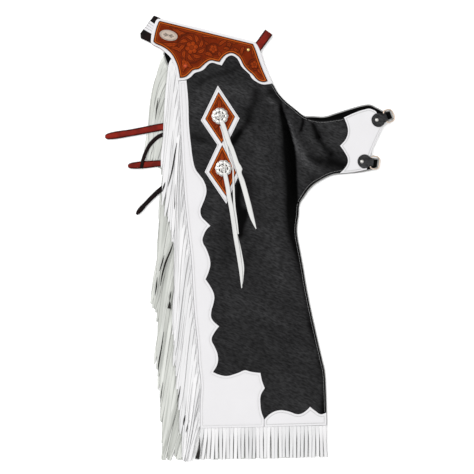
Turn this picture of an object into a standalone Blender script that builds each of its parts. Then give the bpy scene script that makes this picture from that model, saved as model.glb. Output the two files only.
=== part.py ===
"""Fringed leather show chaps, folded in half at the back belt and laid flat, outer face up.

X runs across the leg towards the crotch, Y up the leg towards the belt, and Z up from the
surface that the chaps lie on. Tables and sizes are in millimetres; MM turns them to metres.
"""

import math

import bmesh
import bpy
from mathutils import Matrix, Vector

MM = 0.001

# Driving dimensions
GAP = 0.3
LEATHER = 2.0
HIDDEN_LAYERS = 4.5
TOOLED_LEATHER = 2.5
INLAY = 1.6
STRING = 1.5
STRAP = 3.0
FRINGE = 3.0
CURVE_STEPS = 3

# Levels, from the surface up
UNDER_LEG_BOTTOM = LEATHER + GAP
PANEL_BOTTOM = UNDER_LEG_BOTTOM + HIDDEN_LAYERS + GAP
OVERLAY_BOTTOM = PANEL_BOTTOM + LEATHER + GAP
YOKE_BOTTOM = OVERLAY_BOTTOM + LEATHER + GAP
YOKE_TRIM_BOTTOM = YOKE_BOTTOM + TOOLED_LEATHER + GAP
INLAY_BOTTOM = OVERLAY_BOTTOM + INLAY + GAP
CONCHO_BOTTOM = INLAY_BOTTOM + INLAY + GAP
CHAFE_BOTTOM = YOKE_BOTTOM
STRAP_BOTTOM = FRINGE + GAP

# Hardware
CONCHO_RADIUS = 19.0
CONCHO_PROFILE = (  # radius and height above the base
    (0.0, 5.2),
    (6.0, 5.0),
    (12.0, 3.6),
    (16.0, 2.3),
    (18.4, 2.1),
    (CONCHO_RADIUS, 1.4),
    (CONCHO_RADIUS, 0.0),
    (0.0, 0.0),
)
RIVET_HEIGHT = 2.0
BADGE_LENGTH = 42.5
BADGE_WIDTH = 24.0
BADGE_THICKNESS = 2.0
YOKE_TILT = math.radians(-13)
RING_WIRE = 1.6
RING_LENGTH = 24.0
RING_WIDTH = 32.0
RING_NEAR_CORNER = 5.0
RING_FAR_CORNER = 9.5
RING_TILT = math.radians(11)
CHAFE_RADIUS = 16.0
CHAFE_NECK_WIDTH = 17.0
CHAFE_NECK_LENGTH = 20.5
TURN_STEPS = 32
CORNER_STEPS = 4
RIVET_STEPS = 16

# Outlines: x, y and whether the edge turns a corner there or runs round through it
C = "corner"
R = "round"

PANEL_TOP = (
    (-207, 485, C),
    (0, 441, C),
    (13, 414, C),
    (41, 366, C),
)
CROTCH = (
    (53, 353, C),
    (65, 333, R),
    (79, 317, R),
    (100, 299.5, R),
)
TOP_WING = (
    (124, 280, R),
    (143, 273, R),
    (161, 270, R),
    (189, 272, R),
    (216, 277, R),
    (244, 286, R),
    (276, 293, R),
    (286, 288, C),
    (300, 254, C),
    (273, 194, R),
    (263, 162, C),
    (207, 151, R),
    (188, 147, R),
    (160, 133.5, R),
    (140, 120, R),
    (121, 94.5, R),
    (113.5, 80, R),
)
INNER_EDGE = (
    (110.5, 51, R),
    (107, 25, R),
    (107.5, 6, R),
    (111, -14, R),
    (120, -62, R),
    (128.5, -113, R),
    (136.5, -154, R),
    (144, -189, R),
    (165, -281, R),
    (170.5, -305, R),
    (173.5, -345, R),
    (175, -393, R),
    (176, -430, C),
)
UNDER_WING = (  # with the other leg's chafes, which show through the rings
    (124, 281.5, C),
    (152, 280, R),
    (170, 279.5, R),
    (198, 287.5, R),
    (235, 299, R),
    (262, 306, R),
    (277, 307, R),
    (290, 301, R),
    (308, 292, C),
    (323, 294, C),
    (331, 274, C),
    (311, 266, C),
    (298, 253, C),
    (271, 193, C),
    (277, 184, C),
    (297, 183, C),
    (294, 161, C),
    (279, 156.5, C),
    (259, 152, R),
    (207, 147, R),
    (190, 144.5, R),
    (161, 130.5, R),
    (142.5, 117, R),
    (124, 93, R),
    (115, 79, R),
)
UNDER_INNER_EDGE_SHIFT = 1.5
HEM = ((-114, -437, C),)
OUTER_SEAM = (
    (-114, -374, R),
    (-112, -343, R),
    (-118, -281, R),
    (-119, -255, R),
    (-126, -185, R),
    (-130, -131, R),
    (-135, -43, R),
    (-141, 10, R),
    (-150, 99, R),
    (-161, 304, R),
    (-164, 362, C),
)
PANEL_BACK_CORNER = (
    (-171, 396, R),
    (-179, 415, R),
    (-193, 434, R),
    (-215, 455, C),
)
UNDER_BACK_CORNER = (
    (-189, 395, C),
    (-200, 424, C),
    (-196, 437, R),
    (-215, 455, C),
)
BAND_EDGE = (
    (-146, 362.4, C),
    (-142, 317, R),
    (-140, 259, R),
    (-135, 209, R),
    (-131, 180, R),
    (-125, 158, R),
    (-115, 144, R),
    (-107, 133, R),
    (-100, 110, R),
    (-104, 90, R),
    (-110, 75, R),
    (-114, 62, R),
    (-110, 47, R),
    (-103, 40, R),
    (-91, 28, C),
    (-100, 19, R),
    (-106, 7, R),
    (-109, -6, R),
    (-99, -28, R),
    (-91, -57, R),
    (-95, -78, R),
    (-102, -95, C),
    (-90, -113, R),
    (-82, -133, R),
    (-84, -151, R),
    (-89, -170, R),
    (-88, -185, R),
    (-71, -203, C),
    (-82, -218, R),
    (-88, -234, R),
    (-81, -250, R),
    (-74, -269, R),
    (-75, -290, R),
    (-85, -308, C),
    (-74, -313, R),
    (-54, -317, R),
    (-36, -313, R),
    (-12, -304, C),
    (6, -308, R),
    (24, -310, C),
    (28, -329, R),
    (34, -345, C),
    (25, -361, R),
    (24, -381, R),
    (26, -398, R),
    (32, -416, C),
    (32, -434, C),
)
BAND_TOP = ((-163.5, 360.6, C),)
HEM_BAND = (
    (33, -417, C),
    (48, -403, R),
    (67, -396, R),
    (87, -398, R),
    (112, -405, R),
    (129, -397, R),
    (138, -388, C),
    (151, -398, R),
    (163, -405, R),
    (175.5, -401, C),
    (176, -430, C),
    (33, -434, C),
)
YOKE_BORDER = (
    (-217, 498, R),
    (-212, 503.5, R),
    (-204, 503.5, C),
    (8, 451.5, C),
    (14, 447, R),
    (23, 431, R),
    (33, 400, R),
    (52, 355.5, C),
    (42, 353.5, R),
    (29, 353, R),
    (14, 359.5, R),
    (4, 367.5, R),
    (-1, 376, C),
    (-9, 383.5, R),
    (-20, 395, R),
    (-26, 407, R),
    (-31, 414, R),
    (-43, 419.5, R),
    (-53, 415, R),
    (-59, 406.5, R),
    (-65, 396.5, C),
    (-75, 399.5, R),
    (-89, 402.5, R),
    (-97, 397.5, R),
    (-106, 387.5, R),
    (-115, 383, R),
    (-127, 379, R),
    (-137.5, 369, R),
    (-147, 364, R),
    (-165, 361.5, C),
    (-168, 373, R),
    (-170, 387, R),
    (-175.5, 402, R),
    (-184, 416, R),
    (-194, 426, R),
    (-207, 436.5, R),
    (-221, 443.5, R),
    (-226.5, 447.5, R),
    (-228, 453, R),
)
YOKE = (
    (-211, 494, R),
    (-208, 498, R),
    (-202, 497.4, C),
    (7, 445.5, C),
    (13, 431.5, R),
    (20.5, 409.5, R),
    (29, 386.5, R),
    (40.5, 360.5, C),
    (31, 358, R),
    (18, 362, R),
    (6, 375, R),
    (-7, 386.5, R),
    (-16, 398, R),
    (-21.5, 409.5, R),
    (-28, 417.5, R),
    (-43.5, 424.5, R),
    (-57, 419.5, R),
    (-64.5, 412, R),
    (-70, 404, C),
    (-78, 405.5, R),
    (-91, 407.5, R),
    (-100, 403, R),
    (-107, 397, R),
    (-118, 388, R),
    (-130, 385.5, R),
    (-139, 377, R),
    (-148, 370, R),
    (-161.5, 367.5, C),
    (-162.5, 375, R),
    (-167, 396, R),
    (-172.5, 409.5, R),
    (-179.5, 421.5, R),
    (-190.5, 432.5, R),
    (-204.5, 441, R),
    (-217, 446.5, R),
    (-221.5, 451, R),
    (-221, 457, R),
)
DIAMOND_BORDER = (
    (-74, 350.5, C),
    (-24, 275, C),
    (-47, 228, C),
    (-20.5, 156, C),
    (-54.5, 78.5, C),
    (-104, 152, C),
    (-75, 214, C),
    (-113, 270, C),
)
UPPER_DIAMOND = (
    (-72.5, 335.5, C),
    (-34.5, 278.5, C),
    (-65, 217, C),
    (-103, 273.5, C),
)
LOWER_DIAMOND = (
    (-64, 213.5, C),
    (-31.5, 150.5, C),
    (-54.5, 95, C),
    (-94, 151.5, C),
)
WING_TAB = (
    (216, 277, C),
    (225, 249, R),
    (221, 229, R),
    (207, 212, C),
    (218, 196, R),
    (225, 179, R),
    (221, 165, R),
    (206, 148.5, C),
    (235, 151, R),
    (268, 157, C),
    (277, 193, R),
    (304, 254, C),
    (290, 290, C),
    (276, 297, R),
    (262, 295, R),
    (241, 288, R),
)
SIDE_FRINGE_REACH = (
    (-180.5, 415, C),
    (-186, 414, C),
    (-191, 396, R),
    (-196, 375, R),
    (-201, 341, R),
    (-203, 300, R),
    (-203, 156, R),
    (-204, 126, R),
    (-215, 83, R),
    (-208, 28, R),
    (-215, -16, R),
    (-222, -78, R),
    (-226, -154, R),
    (-210, -202, R),
    (-216, -264, R),
    (-209, -352, R),
    (-204, -400, R),
    (-204, -492, R),
    (-198, -510, C),
    (-131, -510, C),
    (-116, -438, C),
)
UNDER_FRINGE_REACH = (
    (-202, 422, C),
    (-214, 374, R),
    (-229, 317, R),
    (-236, 260, R),
    (-236, 182, C),
    (-204, 172, C),
    (-205, 126, R),
    (-213, 70, R),
    (-206, 28, R),
    (-212, -20, R),
    (-218, -78, R),
    (-221, -150, R),
    (-208, -205, R),
    (-212, -262, R),
    (-206, -350, R),
    (-202, -400, R),
    (-202, -504, C),
    (-128, -504, C),
    (-116, -438, C),
)
HEM_FRINGE_REACH = (
    (-114, -438, C),
    (176, -432, C),
    (178, -507, C),
    (-129, -510, C),
)
BACK_BELT = (
    (-221, 512, C),
    (-206, 506, C),
    (-226, 470, C),
    (-227, 448.5, C),
    (-251.5, 460, C),
    (-252.5, 471, C),
)

# Strings and straps: x, y, height of the underside and width of each section
UPPER_STRING_WIDE = (
    (-66, 267.5, 17.0, 10),
    (-62, 259, 16.7, 11),
    (-57.5, 246, 15.1, 11.3),
    (-51.5, 228, 15.1, 11),
    (-47.5, 216, 15.1, 10.5),
    (-43, 207, 14.3, 10.5),
    (-36.5, 188.5, 13.3, 11),
    (-30.5, 170, 13.3, 12),
    (-24.5, 157, 13.3, 15),
    (-25, 151, 13.3, 11.5),
    (-19, 133.5, 11.3, 12),
    (-13.5, 115, 9.5, 12),
    (-8.5, 96.5, 9.5, 12),
    (-3.5, 78, 9.5, 12),
    (1, 60, 9.5, 11.5),
    (6.5, 41.5, 9.5, 8.5),
    (14, 21, 9.5, 2),
)
UPPER_STRING_NARROW = (
    (-66.5, 257.5, 13.3, 6.5),
    (-62, 244, 13.3, 6.8),
    (-57.5, 225, 13.3, 6.8),
    (-53, 207, 13.3, 6),
    (-49, 188.5, 13.3, 4),
    (-41.4, 170, 13.3, 3.2),
    (-39.4, 162, 13.3, 3),
    (-38.8, 154, 13.3, 3.2),
    (-38.5, 133.5, 13.3, 3.8),
    (-38, 123, 13.3, 4.4),
    (-37.5, 113, 11.5, 4.8),
    (-37, 96.5, 11.3, 4.6),
    (-35.5, 71, 11.3, 5),
    (-32.5, 48, 11.3, 5.2),
    (-30.5, 30, 11.3, 5.8),
    (-28.5, 9, 11.3, 5.8),
)
LOWER_STRING_FRONT = (
    (-57.6, 148, 17.0, 10),
    (-55.6, 138, 16.7, 10.5),
    (-50.2, 110, 15.1, 10.5),
    (-48.7, 97, 15.2, 10.5),
    (-47, 88, 13.6, 10.5),
    (-44, 74, 13.1, 10.5),
    (-38, 37, 13.1, 10.5),
    (-33.5, 5, 13.1, 10.5),
    (-29.5, -18, 11.3, 10.5),
    (-26.5, -37, 11.3, 10),
    (-21.5, -74, 11.3, 8),
    (-19, -115, 11.3, 2),
)
LOWER_STRING_BACK = (
    (-55, 138.5, 13.3, 6.5),
    (-54, 130, 13.3, 7),
    (-50.5, 110, 13.3, 7),
    (-48.5, 98, 13.3, 7),
    (-47, 90, 11.5, 7),
    (-43.5, 70, 9.5, 8),
    (-38, 37, 9.5, 8),
    (-31.5, 4, 9.5, 8.5),
    (-27, -14, 9.5, 8.5),
    (-23, -33, 9.5, 8.5),
    (-17.5, -69, 9.5, 8.5),
    (-18, -88, 9.5, 7),
    (-17.5, -106, 9.5, 2),
)
LEG_STRAP_UPPER = (
    (-164, 261.5, STRAP_BOTTOM, 17),
    (-207, 255, STRAP_BOTTOM, 17),
    (-270, 243, STRAP_BOTTOM, 16),
    (-326, 234, STRAP_BOTTOM, 14),
    (-331, 233, STRAP_BOTTOM, 11),
    (-333.5, 232.5, STRAP_BOTTOM, 5),
)
LEG_STRAP_MIDDLE = (
    (-158, 177, STRAP_BOTTOM, 15),
    (-206, 172, STRAP_BOTTOM, 15),
    (-272, 166.5, STRAP_BOTTOM, 14),
    (-278, 166, STRAP_BOTTOM, 11),
    (-281, 166, STRAP_BOTTOM, 5),
)
LEG_STRAP_LOWER = (
    (-158, 142, STRAP_BOTTOM, 11),
    (-204, 113, STRAP_BOTTOM, 11),
    (-237, 82, STRAP_BOTTOM, 10),
    (-259, 57, STRAP_BOTTOM, 8),
    (-261, 54, STRAP_BOTTOM, 4),
)
STRAP_KEEPER = (
    (-164, 241, STRAP_BOTTOM, 9),
    (-204, 237, STRAP_BOTTOM, 9),
    (-228, 218, STRAP_BOTTOM, 9),
    (-240, 197, 5.4, 8),
    (-246, 180, 6.8, 8),
    (-250, 160, 6.8, 7),
)
KEEPER_THICKNESS = 2.0
FRONT_STRAP = (
    (13, 432, PANEL_BOTTOM, 20),
    (43.5, 473.5, PANEL_BOTTOM, 21),
)
LACE_COUNT = 4
LACE_WIDTH = 5.6
FIRST_LACE = ((-231, 497), (-217, 487))
LAST_LACE = ((-243.5, 482.5), (-221, 469.5))

# Folds of the top leg panel: how the right side meets the leather below it, 1 for a sharp
# foot and 2 for a soft one, and the sections of the ridge from the crotch down: x, y, how
# far the leather falls on the left and on the right of it, and how high it stands
FOLDS = (
    (
        1,
        (
            (63, 308, 18, 10, 0),
            (64, 284, 22, 18, 6),
            (65, 262, 30, 26, 10),
            (69, 205, 42, 36, 13),
            (76, 117, 44, 34, 12),
            (84, 64, 40, 26, 5),
            (88, 42, 30, 20, 0),
        ),
    ),
    (
        2,
        (
            (82, 298, 8, 12, 2),
            (100, 262, 10, 30, 7),
            (120, 213, 15, 34, 8),
            (134, 160, 16, 30, 5),
            (140, 132, 10, 14, 0),
        ),
    ),
    (
        2,
        (
            (142, 268, 10, 8, 1),
            (155, 235, 24, 12, 5),
            (165, 200, 24, 14, 5),
            (188, 173, 20, 12, 1),
        ),
    ),
)
FOLD_LINES_X = (20, 200, 10)
FOLD_LINES_Y = (36, 309, 16)

# Hardware places: x, y
UPPER_CONCHO = (-69, 280)
LOWER_CONCHO = (-61, 160)
BADGE = (-187, 465)
YOKE_STUD = (-4, 432)
YOKE_RIVET = (-148, 395)
CHAFES = (  # name, centre, rivet, direction of the ring and its distance from the centre
    ("upper", (295, 271), (291, 271), 22, 27),
    ("lower", (263, 176), (257, 175.5), -7, 25),
)


def clear_scene():
    for thing in list(bpy.data.objects):
        bpy.data.objects.remove(thing, do_unlink=True)


def material(name, colour, roughness, metallic=0.0):
    made = bpy.data.materials.new(name)
    made.use_nodes = True
    shader = made.node_tree.nodes["Principled BSDF"]
    shader.inputs["Base Color"].default_value = (*colour, 1)
    shader.inputs["Roughness"].default_value = roughness
    shader.inputs["Metallic"].default_value = metallic
    return made


def place(name, data, finish):
    """Links an object of this data into the chaps' collection."""
    piece = bpy.data.objects.new(name, data)
    data.materials.append(finish)
    COLLECTION.objects.link(piece)
    return piece


def outline_curve(name, rows):
    """A filled flat curve through the rows, sharp at corners and smooth elsewhere."""
    curve = bpy.data.curves.new(name, "CURVE")
    curve.dimensions = "2D"
    curve.fill_mode = "BOTH"
    curve.resolution_u = CURVE_STEPS
    spline = curve.splines.new("BEZIER")
    spline.bezier_points.add(len(rows) - 1)
    spline.use_cyclic_u = True
    for point, (x, y, _) in zip(spline.bezier_points, rows):
        point.co = (x * MM, y * MM, 0)
    for point, (_, _, turn) in zip(spline.bezier_points, rows):
        handle = "VECTOR" if turn == C else "AUTO"
        point.handle_left_type = handle
        point.handle_right_type = handle
    return curve


def flat_piece(name, rows, bottom, thickness, finish):
    """Flat leather of this outline and thickness, its underside at the level bottom."""
    curve = outline_curve(name, rows)
    curve.extrude = thickness * MM / 2
    piece = place(name, curve, finish)
    piece.location.z = (bottom + thickness / 2) * MM
    return piece


def relief_piece(name, rows, bottom, thickness, finish, cuts, lift):
    """Leather of this outline, cut across at each (point, normal) and raised by lift(x, y)."""
    guide = bpy.data.objects.new(name + "_outline", outline_curve(name, rows))
    COLLECTION.objects.link(guide)
    graph = bpy.context.evaluated_depsgraph_get()
    mesh = bpy.data.meshes.new_from_object(guide.evaluated_get(graph))
    bpy.data.objects.remove(guide, do_unlink=True)
    mesh.name = name
    mesh.materials.clear()
    shape = bmesh.new()
    shape.from_mesh(mesh)
    bmesh.ops.remove_doubles(shape, verts=shape.verts, dist=0.001 * MM)
    bmesh.ops.dissolve_faces(shape, faces=shape.faces)
    for point, normal in cuts:
        geometry = shape.verts[:] + shape.edges[:] + shape.faces[:]
        bmesh.ops.bisect_plane(shape, geom=geometry, plane_co=point * MM, plane_no=normal)
    bmesh.ops.triangulate(shape, faces=shape.faces)
    for vert in shape.verts:
        vert.co.z = (bottom + thickness + lift(vert.co.x / MM, vert.co.y / MM)) * MM
    made = bmesh.ops.extrude_face_region(shape, geom=shape.faces[:])
    lowered = [item for item in made["geom"] if isinstance(item, bmesh.types.BMVert)]
    bmesh.ops.translate(shape, verts=lowered, vec=(0, 0, -thickness * MM))
    bmesh.ops.recalc_face_normals(shape, faces=shape.faces)
    shape.to_mesh(mesh)
    shape.free()
    return place(name, mesh, finish)


def strip(name, rows, thickness, finish):
    """A strap or string: an open band through the sections, thickened upwards."""
    shape = bmesh.new()
    centres = [Vector(row[:3]) for row in rows]
    sections = []
    for index, (centre, row) in enumerate(zip(centres, rows)):
        before = centres[max(index - 1, 0)]
        after = centres[min(index + 1, len(rows) - 1)]
        along = (after - before).to_2d().normalized()
        across = Vector((-along.y, along.x, 0)) * row[3] / 2
        ends = [shape.verts.new((centre + side * across) * MM) for side in (-1, 1)]
        sections.append(ends)
    for (right, left), (next_right, next_left) in zip(sections, sections[1:]):
        shape.faces.new((right, next_right, next_left, left))
    mesh = bpy.data.meshes.new(name)
    shape.to_mesh(mesh)
    shape.free()
    piece = place(name, mesh, finish)
    thicken = piece.modifiers.new("thickness", "SOLIDIFY")
    thicken.thickness = thickness * MM
    thicken.offset = 1
    return piece


def turned_piece(name, profile, centre, bottom, steps, finish):
    """A round piece: its profile, from the top of the axis to the base, turned about Z."""
    mesh = bpy.data.meshes.new(name)
    points = [(radius * MM, 0, height * MM) for radius, height in profile]
    edges = [(index, index + 1) for index in range(len(points) - 1)]
    mesh.from_pydata(points, edges, [])
    piece = place(name, mesh, finish)
    piece.location = (centre[0] * MM, centre[1] * MM, bottom * MM)
    turn = piece.modifiers.new("turn", "SCREW")
    turn.axis = "Z"
    turn.steps = steps
    turn.render_steps = steps
    turn.use_merge_vertices = True
    turn.merge_threshold = 0.01 * MM
    return piece


def rivet_profile(radius):
    return (
        (0.0, RIVET_HEIGHT),
        (radius * 0.6, RIVET_HEIGHT * 0.85),
        (radius, RIVET_HEIGHT * 0.4),
        (radius, 0.0),
        (0.0, 0.0),
    )


def shifted(rows, dx):
    return tuple((x + dx, y, turn) for x, y, turn in rows)


def fold_height(x, y):
    """How far the folds lift the top leg panel at this place."""
    return sum(ridge_height(Vector((x, y)), *fold) for fold in FOLDS)


def ridge_height(point, foot, sections):
    """How far one fold lifts this place: by its height at the nearest place on its ridge."""
    nearest = None
    for first, second in zip(sections, sections[1:]):
        start = Vector(first[:2])
        run = Vector(second[:2]) - start
        offset = point - start
        share = min(max(offset.dot(run) / run.length_squared, 0), 1)
        distance = (offset - run * share).length
        if nearest is None or distance < nearest[0]:
            left, right, top = Vector(first[2:]).lerp(Vector(second[2:]), share)
            on_left = run.x * offset.y - run.y * offset.x < 0
            nearest = (distance, left if on_left else right, 2 if on_left else foot, top)
    distance, spread, power, top = nearest
    return top * max(math.cos(math.pi / 2 * min(distance / spread, 1)), 0) ** power


def lines(first, last, step):
    return range(first, last + 1, step)


def leg_panel():
    rows = PANEL_TOP + CROTCH + TOP_WING + INNER_EDGE + HEM + OUTER_SEAM + PANEL_BACK_CORNER
    across = [(Vector((x, 0, 0)), Vector((1, 0, 0))) for x in lines(*FOLD_LINES_X)]
    along = [(Vector((0, y, 0)), Vector((0, 1, 0))) for y in lines(*FOLD_LINES_Y)]
    relief_piece(
        "leg_panel", rows, PANEL_BOTTOM, LEATHER, BLACK, across + along, fold_height
    )


def under_leg():
    inner = shifted(INNER_EDGE, UNDER_INNER_EDGE_SHIFT)
    rows = PANEL_TOP + CROTCH + UNDER_WING + inner + HEM + OUTER_SEAM + UNDER_BACK_CORNER
    flat_piece("under_leg", rows, UNDER_LEG_BOTTOM, HIDDEN_LAYERS, BLACK)


def overlays():
    """The white overlays and the yoke, on the top leg and face down under the other one."""
    band = BAND_EDGE + HEM + OUTER_SEAM[:-1] + BAND_TOP
    pieces = (
        ("side_band", band, WHITE),
        ("hem_band", HEM_BAND, WHITE),
        ("wing_tab", WING_TAB, WHITE),
    )
    for name, rows, finish in pieces:
        flat_piece(name, rows, OVERLAY_BOTTOM, LEATHER, finish)
        flat_piece("under_" + name, rows, 0, LEATHER, finish)
    flat_piece("yoke_border", YOKE_BORDER, OVERLAY_BOTTOM, LEATHER, WHITE)
    flat_piece("yoke", YOKE, YOKE_BOTTOM, TOOLED_LEATHER, TOOLED)
    flat_piece("under_yoke", YOKE_BORDER, 0, LEATHER, TOOLED)


def diamonds():
    flat_piece("diamond_border", DIAMOND_BORDER, OVERLAY_BOTTOM, INLAY, WHITE)
    flat_piece("upper_diamond", UPPER_DIAMOND, INLAY_BOTTOM, INLAY, TOOLED)
    flat_piece("lower_diamond", LOWER_DIAMOND, INLAY_BOTTOM, INLAY, TOOLED)
    for name, centre in (("upper_concho", UPPER_CONCHO), ("lower_concho", LOWER_CONCHO)):
        turned_piece(name, CONCHO_PROFILE, centre, CONCHO_BOTTOM, TURN_STEPS, SILVER)
    strip("upper_string_wide", UPPER_STRING_WIDE, STRING, WHITE)
    strip("upper_string_narrow", UPPER_STRING_NARROW, STRING, WHITE)
    strip("lower_string_front", LOWER_STRING_FRONT, STRING, WHITE)
    strip("lower_string_back", LOWER_STRING_BACK, STRING, WHITE)


def yoke_trim():
    """The oval plate and the two spots on the yoke."""
    points = 16
    tilt = Matrix.Rotation(YOKE_TILT, 2)
    badge = []
    for index in range(points):
        angle = -math.tau * index / points
        reach = Vector((BADGE_LENGTH * math.cos(angle), BADGE_WIDTH * math.sin(angle)))
        x, y = Vector(BADGE) + tilt @ reach / 2
        badge.append((x, y, R))
    flat_piece("badge", badge, YOKE_TRIM_BOTTOM, BADGE_THICKNESS, SILVER)
    for name, centre, radius, finish in (
        ("yoke_stud", YOKE_STUD, 3.5, BRASS),
        ("yoke_rivet", YOKE_RIVET, 4.5, BRONZE),
    ):
        profile = rivet_profile(radius)
        turned_piece(name, profile, centre, YOKE_TRIM_BOTTOM, RIVET_STEPS, finish)


def chafe(name, centre, rivet, heading, ring_distance):
    """A round chafe whose neck rises over the near side of its ring, with its rivet."""
    middle = Vector(centre)
    ahead = Vector((math.cos(math.radians(heading)), math.sin(math.radians(heading))))
    aside = Vector((-ahead.y, ahead.x))
    opening = math.asin(CHAFE_NECK_WIDTH / 2 / CHAFE_RADIUS) + math.radians(12)
    points = 12
    rows = []
    for index in range(points + 1):
        angle = opening + (math.tau - 2 * opening) * index / points
        place_on_rim = math.cos(angle) * ahead + math.sin(angle) * aside
        x, y = middle + place_on_rim * CHAFE_RADIUS
        rows.append((x, y, R))
    for side in (-1, 1):
        x, y = middle + ahead * CHAFE_NECK_LENGTH + aside * side * CHAFE_NECK_WIDTH / 2
        rows.append((x, y, C))
    wire_top = 2 * RING_WIRE + GAP
    near_bar = ring_distance - RING_LENGTH / 2 - GAP
    ramp_start = near_bar - 7

    def lift(x, y):
        along = (Vector((x, y)) - middle).dot(ahead)
        return wire_top * min(max((along - ramp_start) / (near_bar - ramp_start), 0), 1)

    cuts = []
    for distance in (ramp_start, near_bar):
        cuts.append(((middle + ahead * distance).to_3d(), ahead.to_3d()))
    relief_piece(name + "_chafe", rows[::-1], CHAFE_BOTTOM, LEATHER, BLACK, cuts, lift)
    rivet_bottom = CHAFE_BOTTOM + LEATHER + GAP
    turned_piece(
        name + "_chafe_rivet", rivet_profile(4), rivet, rivet_bottom, RIVET_STEPS, SILVER
    )
    ring(name, middle + ahead * (ring_distance - RING_LENGTH / 2 + RING_WIRE), heading)


def ring_path():
    """Points along the ring's wire: its near bar on the Y axis, its bow towards +X."""
    half_width = RING_WIDTH / 2 - RING_WIRE
    length = RING_LENGTH - 2 * RING_WIRE
    near = RING_NEAR_CORNER
    far = RING_FAR_CORNER
    corners = (  # centre, radius and the angle at which the wire enters it
        (near, near - half_width, near, math.pi),
        (length - far, far - half_width, far, math.pi * 1.5),
        (length - far, half_width - far, far, 0),
        (near, half_width - near, near, math.pi * 0.5),
    )
    points = []
    for x, y, radius, start in corners:
        for step in range(CORNER_STEPS + 1):
            angle = start + math.pi / 2 * step / CORNER_STEPS
            points.append((x + radius * math.cos(angle), y + radius * math.sin(angle)))
    return points


def ring(name, near_side, heading):
    """A ring held by its near bar under the chafe's neck and tipping down beyond it."""
    curve = bpy.data.curves.new(name + "_ring", "CURVE")
    curve.dimensions = "3D"
    curve.bevel_depth = RING_WIRE * MM
    curve.bevel_resolution = 2
    path = ring_path()
    spline = curve.splines.new("POLY")
    spline.points.add(len(path) - 1)
    spline.use_cyclic_u = True
    for point, (x, y) in zip(spline.points, path):
        point.co = (x * MM, y * MM, 0, 1)
    made = place(name + "_ring", curve, BRONZE)
    made.location = (near_side.x * MM, near_side.y * MM, (CHAFE_BOTTOM + RING_WIRE) * MM)
    made.rotation_euler = (0, RING_TILT, math.radians(heading))


def fringe():
    """Plain solids of the reach of the cut fringe, beside the seams that hold it."""
    seam = shifted(OUTER_SEAM, -GAP - 0.2)
    above = ((-172.4, 396, R),)
    flat_piece("side_fringe", SIDE_FRINGE_REACH + seam + above, PANEL_BOTTOM, LEATHER, WHITE)
    under_seam = shifted(OUTER_SEAM[:-1], -GAP - 0.6)
    under_above = ((-166.5, 360, C), (-190.5, 395, C))
    under_rows = UNDER_FRINGE_REACH + under_seam + under_above
    flat_piece("under_side_fringe", under_rows, 0, FRINGE, WHITE)
    flat_piece("under_hem_fringe", HEM_FRINGE_REACH, 0, FRINGE, WHITE)
    hem_bottom = FRINGE + GAP
    hem_top = PANEL_BOTTOM + LEATHER
    flat_piece("hem_fringe", HEM_FRINGE_REACH, hem_bottom, hem_top - hem_bottom, WHITE)


def belts_and_straps():
    flat_piece("back_belt", BACK_BELT, UNDER_LEG_BOTTOM, HIDDEN_LAYERS, DARK)
    for index in range(LACE_COUNT):
        share = index / (LACE_COUNT - 1)
        rows = []
        for first, last in zip(FIRST_LACE, LAST_LACE):
            x, y = Vector(first).lerp(Vector(last), share)
            rows.append((x, y, PANEL_BOTTOM, LACE_WIDTH))
        strip(f"back_lace_{index + 1}", rows, STRING, WHITE)
    strip("front_strap", FRONT_STRAP, LEATHER, OXBLOOD)
    strip("leg_strap_upper", LEG_STRAP_UPPER, STRAP, OXBLOOD)
    strip("leg_strap_middle", LEG_STRAP_MIDDLE, STRAP, OXBLOOD)
    strip("leg_strap_lower", LEG_STRAP_LOWER, STRAP, DARK)
    strip("strap_keeper", STRAP_KEEPER, KEEPER_THICKNESS, DARK)


clear_scene()
COLLECTION = bpy.data.collections.new("leather_chaps")
bpy.context.scene.collection.children.link(COLLECTION)
BLACK = material("black_leather", (0.025, 0.025, 0.028), 0.55)
WHITE = material("white_leather", (0.86, 0.85, 0.86), 0.5)
TOOLED = material("tooled_leather", (0.4, 0.1, 0.02), 0.45)
OXBLOOD = material("oxblood_leather", (0.26, 0.02, 0.01), 0.5)
DARK = material("dark_leather", (0.02, 0.005, 0.004), 0.5)
SILVER = material("silver", (0.8, 0.8, 0.8), 0.3, 1.0)
BRASS = material("brass", (0.7, 0.5, 0.2), 0.3, 1.0)
BRONZE = material("bronze", (0.45, 0.25, 0.14), 0.35, 1.0)

under_leg()
leg_panel()
overlays()
diamonds()
yoke_trim()
for row in CHAFES:
    chafe(*row)
fringe()
belts_and_straps()
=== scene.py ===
"""Looks of the fringed leather chaps, folded leg on leg and laid flat.

Tables and sizes are in millimetres in the frame's own axes; MM turns them to metres.
"""

import math
import random
import bmesh
import bpy
import numpy as np
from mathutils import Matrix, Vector
from mathutils.geometry import delaunay_2d_cdt


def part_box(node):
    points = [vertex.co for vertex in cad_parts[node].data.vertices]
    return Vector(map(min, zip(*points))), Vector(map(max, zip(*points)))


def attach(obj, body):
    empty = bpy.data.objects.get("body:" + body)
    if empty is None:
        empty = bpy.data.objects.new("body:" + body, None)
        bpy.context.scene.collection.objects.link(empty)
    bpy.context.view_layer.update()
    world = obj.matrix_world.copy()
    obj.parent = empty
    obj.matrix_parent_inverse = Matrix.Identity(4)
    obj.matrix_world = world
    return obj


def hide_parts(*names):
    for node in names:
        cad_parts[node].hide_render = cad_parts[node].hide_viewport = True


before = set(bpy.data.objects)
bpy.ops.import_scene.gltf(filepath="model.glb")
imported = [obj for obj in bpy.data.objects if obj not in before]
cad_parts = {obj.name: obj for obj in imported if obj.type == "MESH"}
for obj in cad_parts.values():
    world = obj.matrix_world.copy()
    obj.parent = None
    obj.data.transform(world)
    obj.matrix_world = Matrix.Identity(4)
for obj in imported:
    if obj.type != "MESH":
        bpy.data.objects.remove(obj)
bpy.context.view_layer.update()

MM = 0.001

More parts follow.
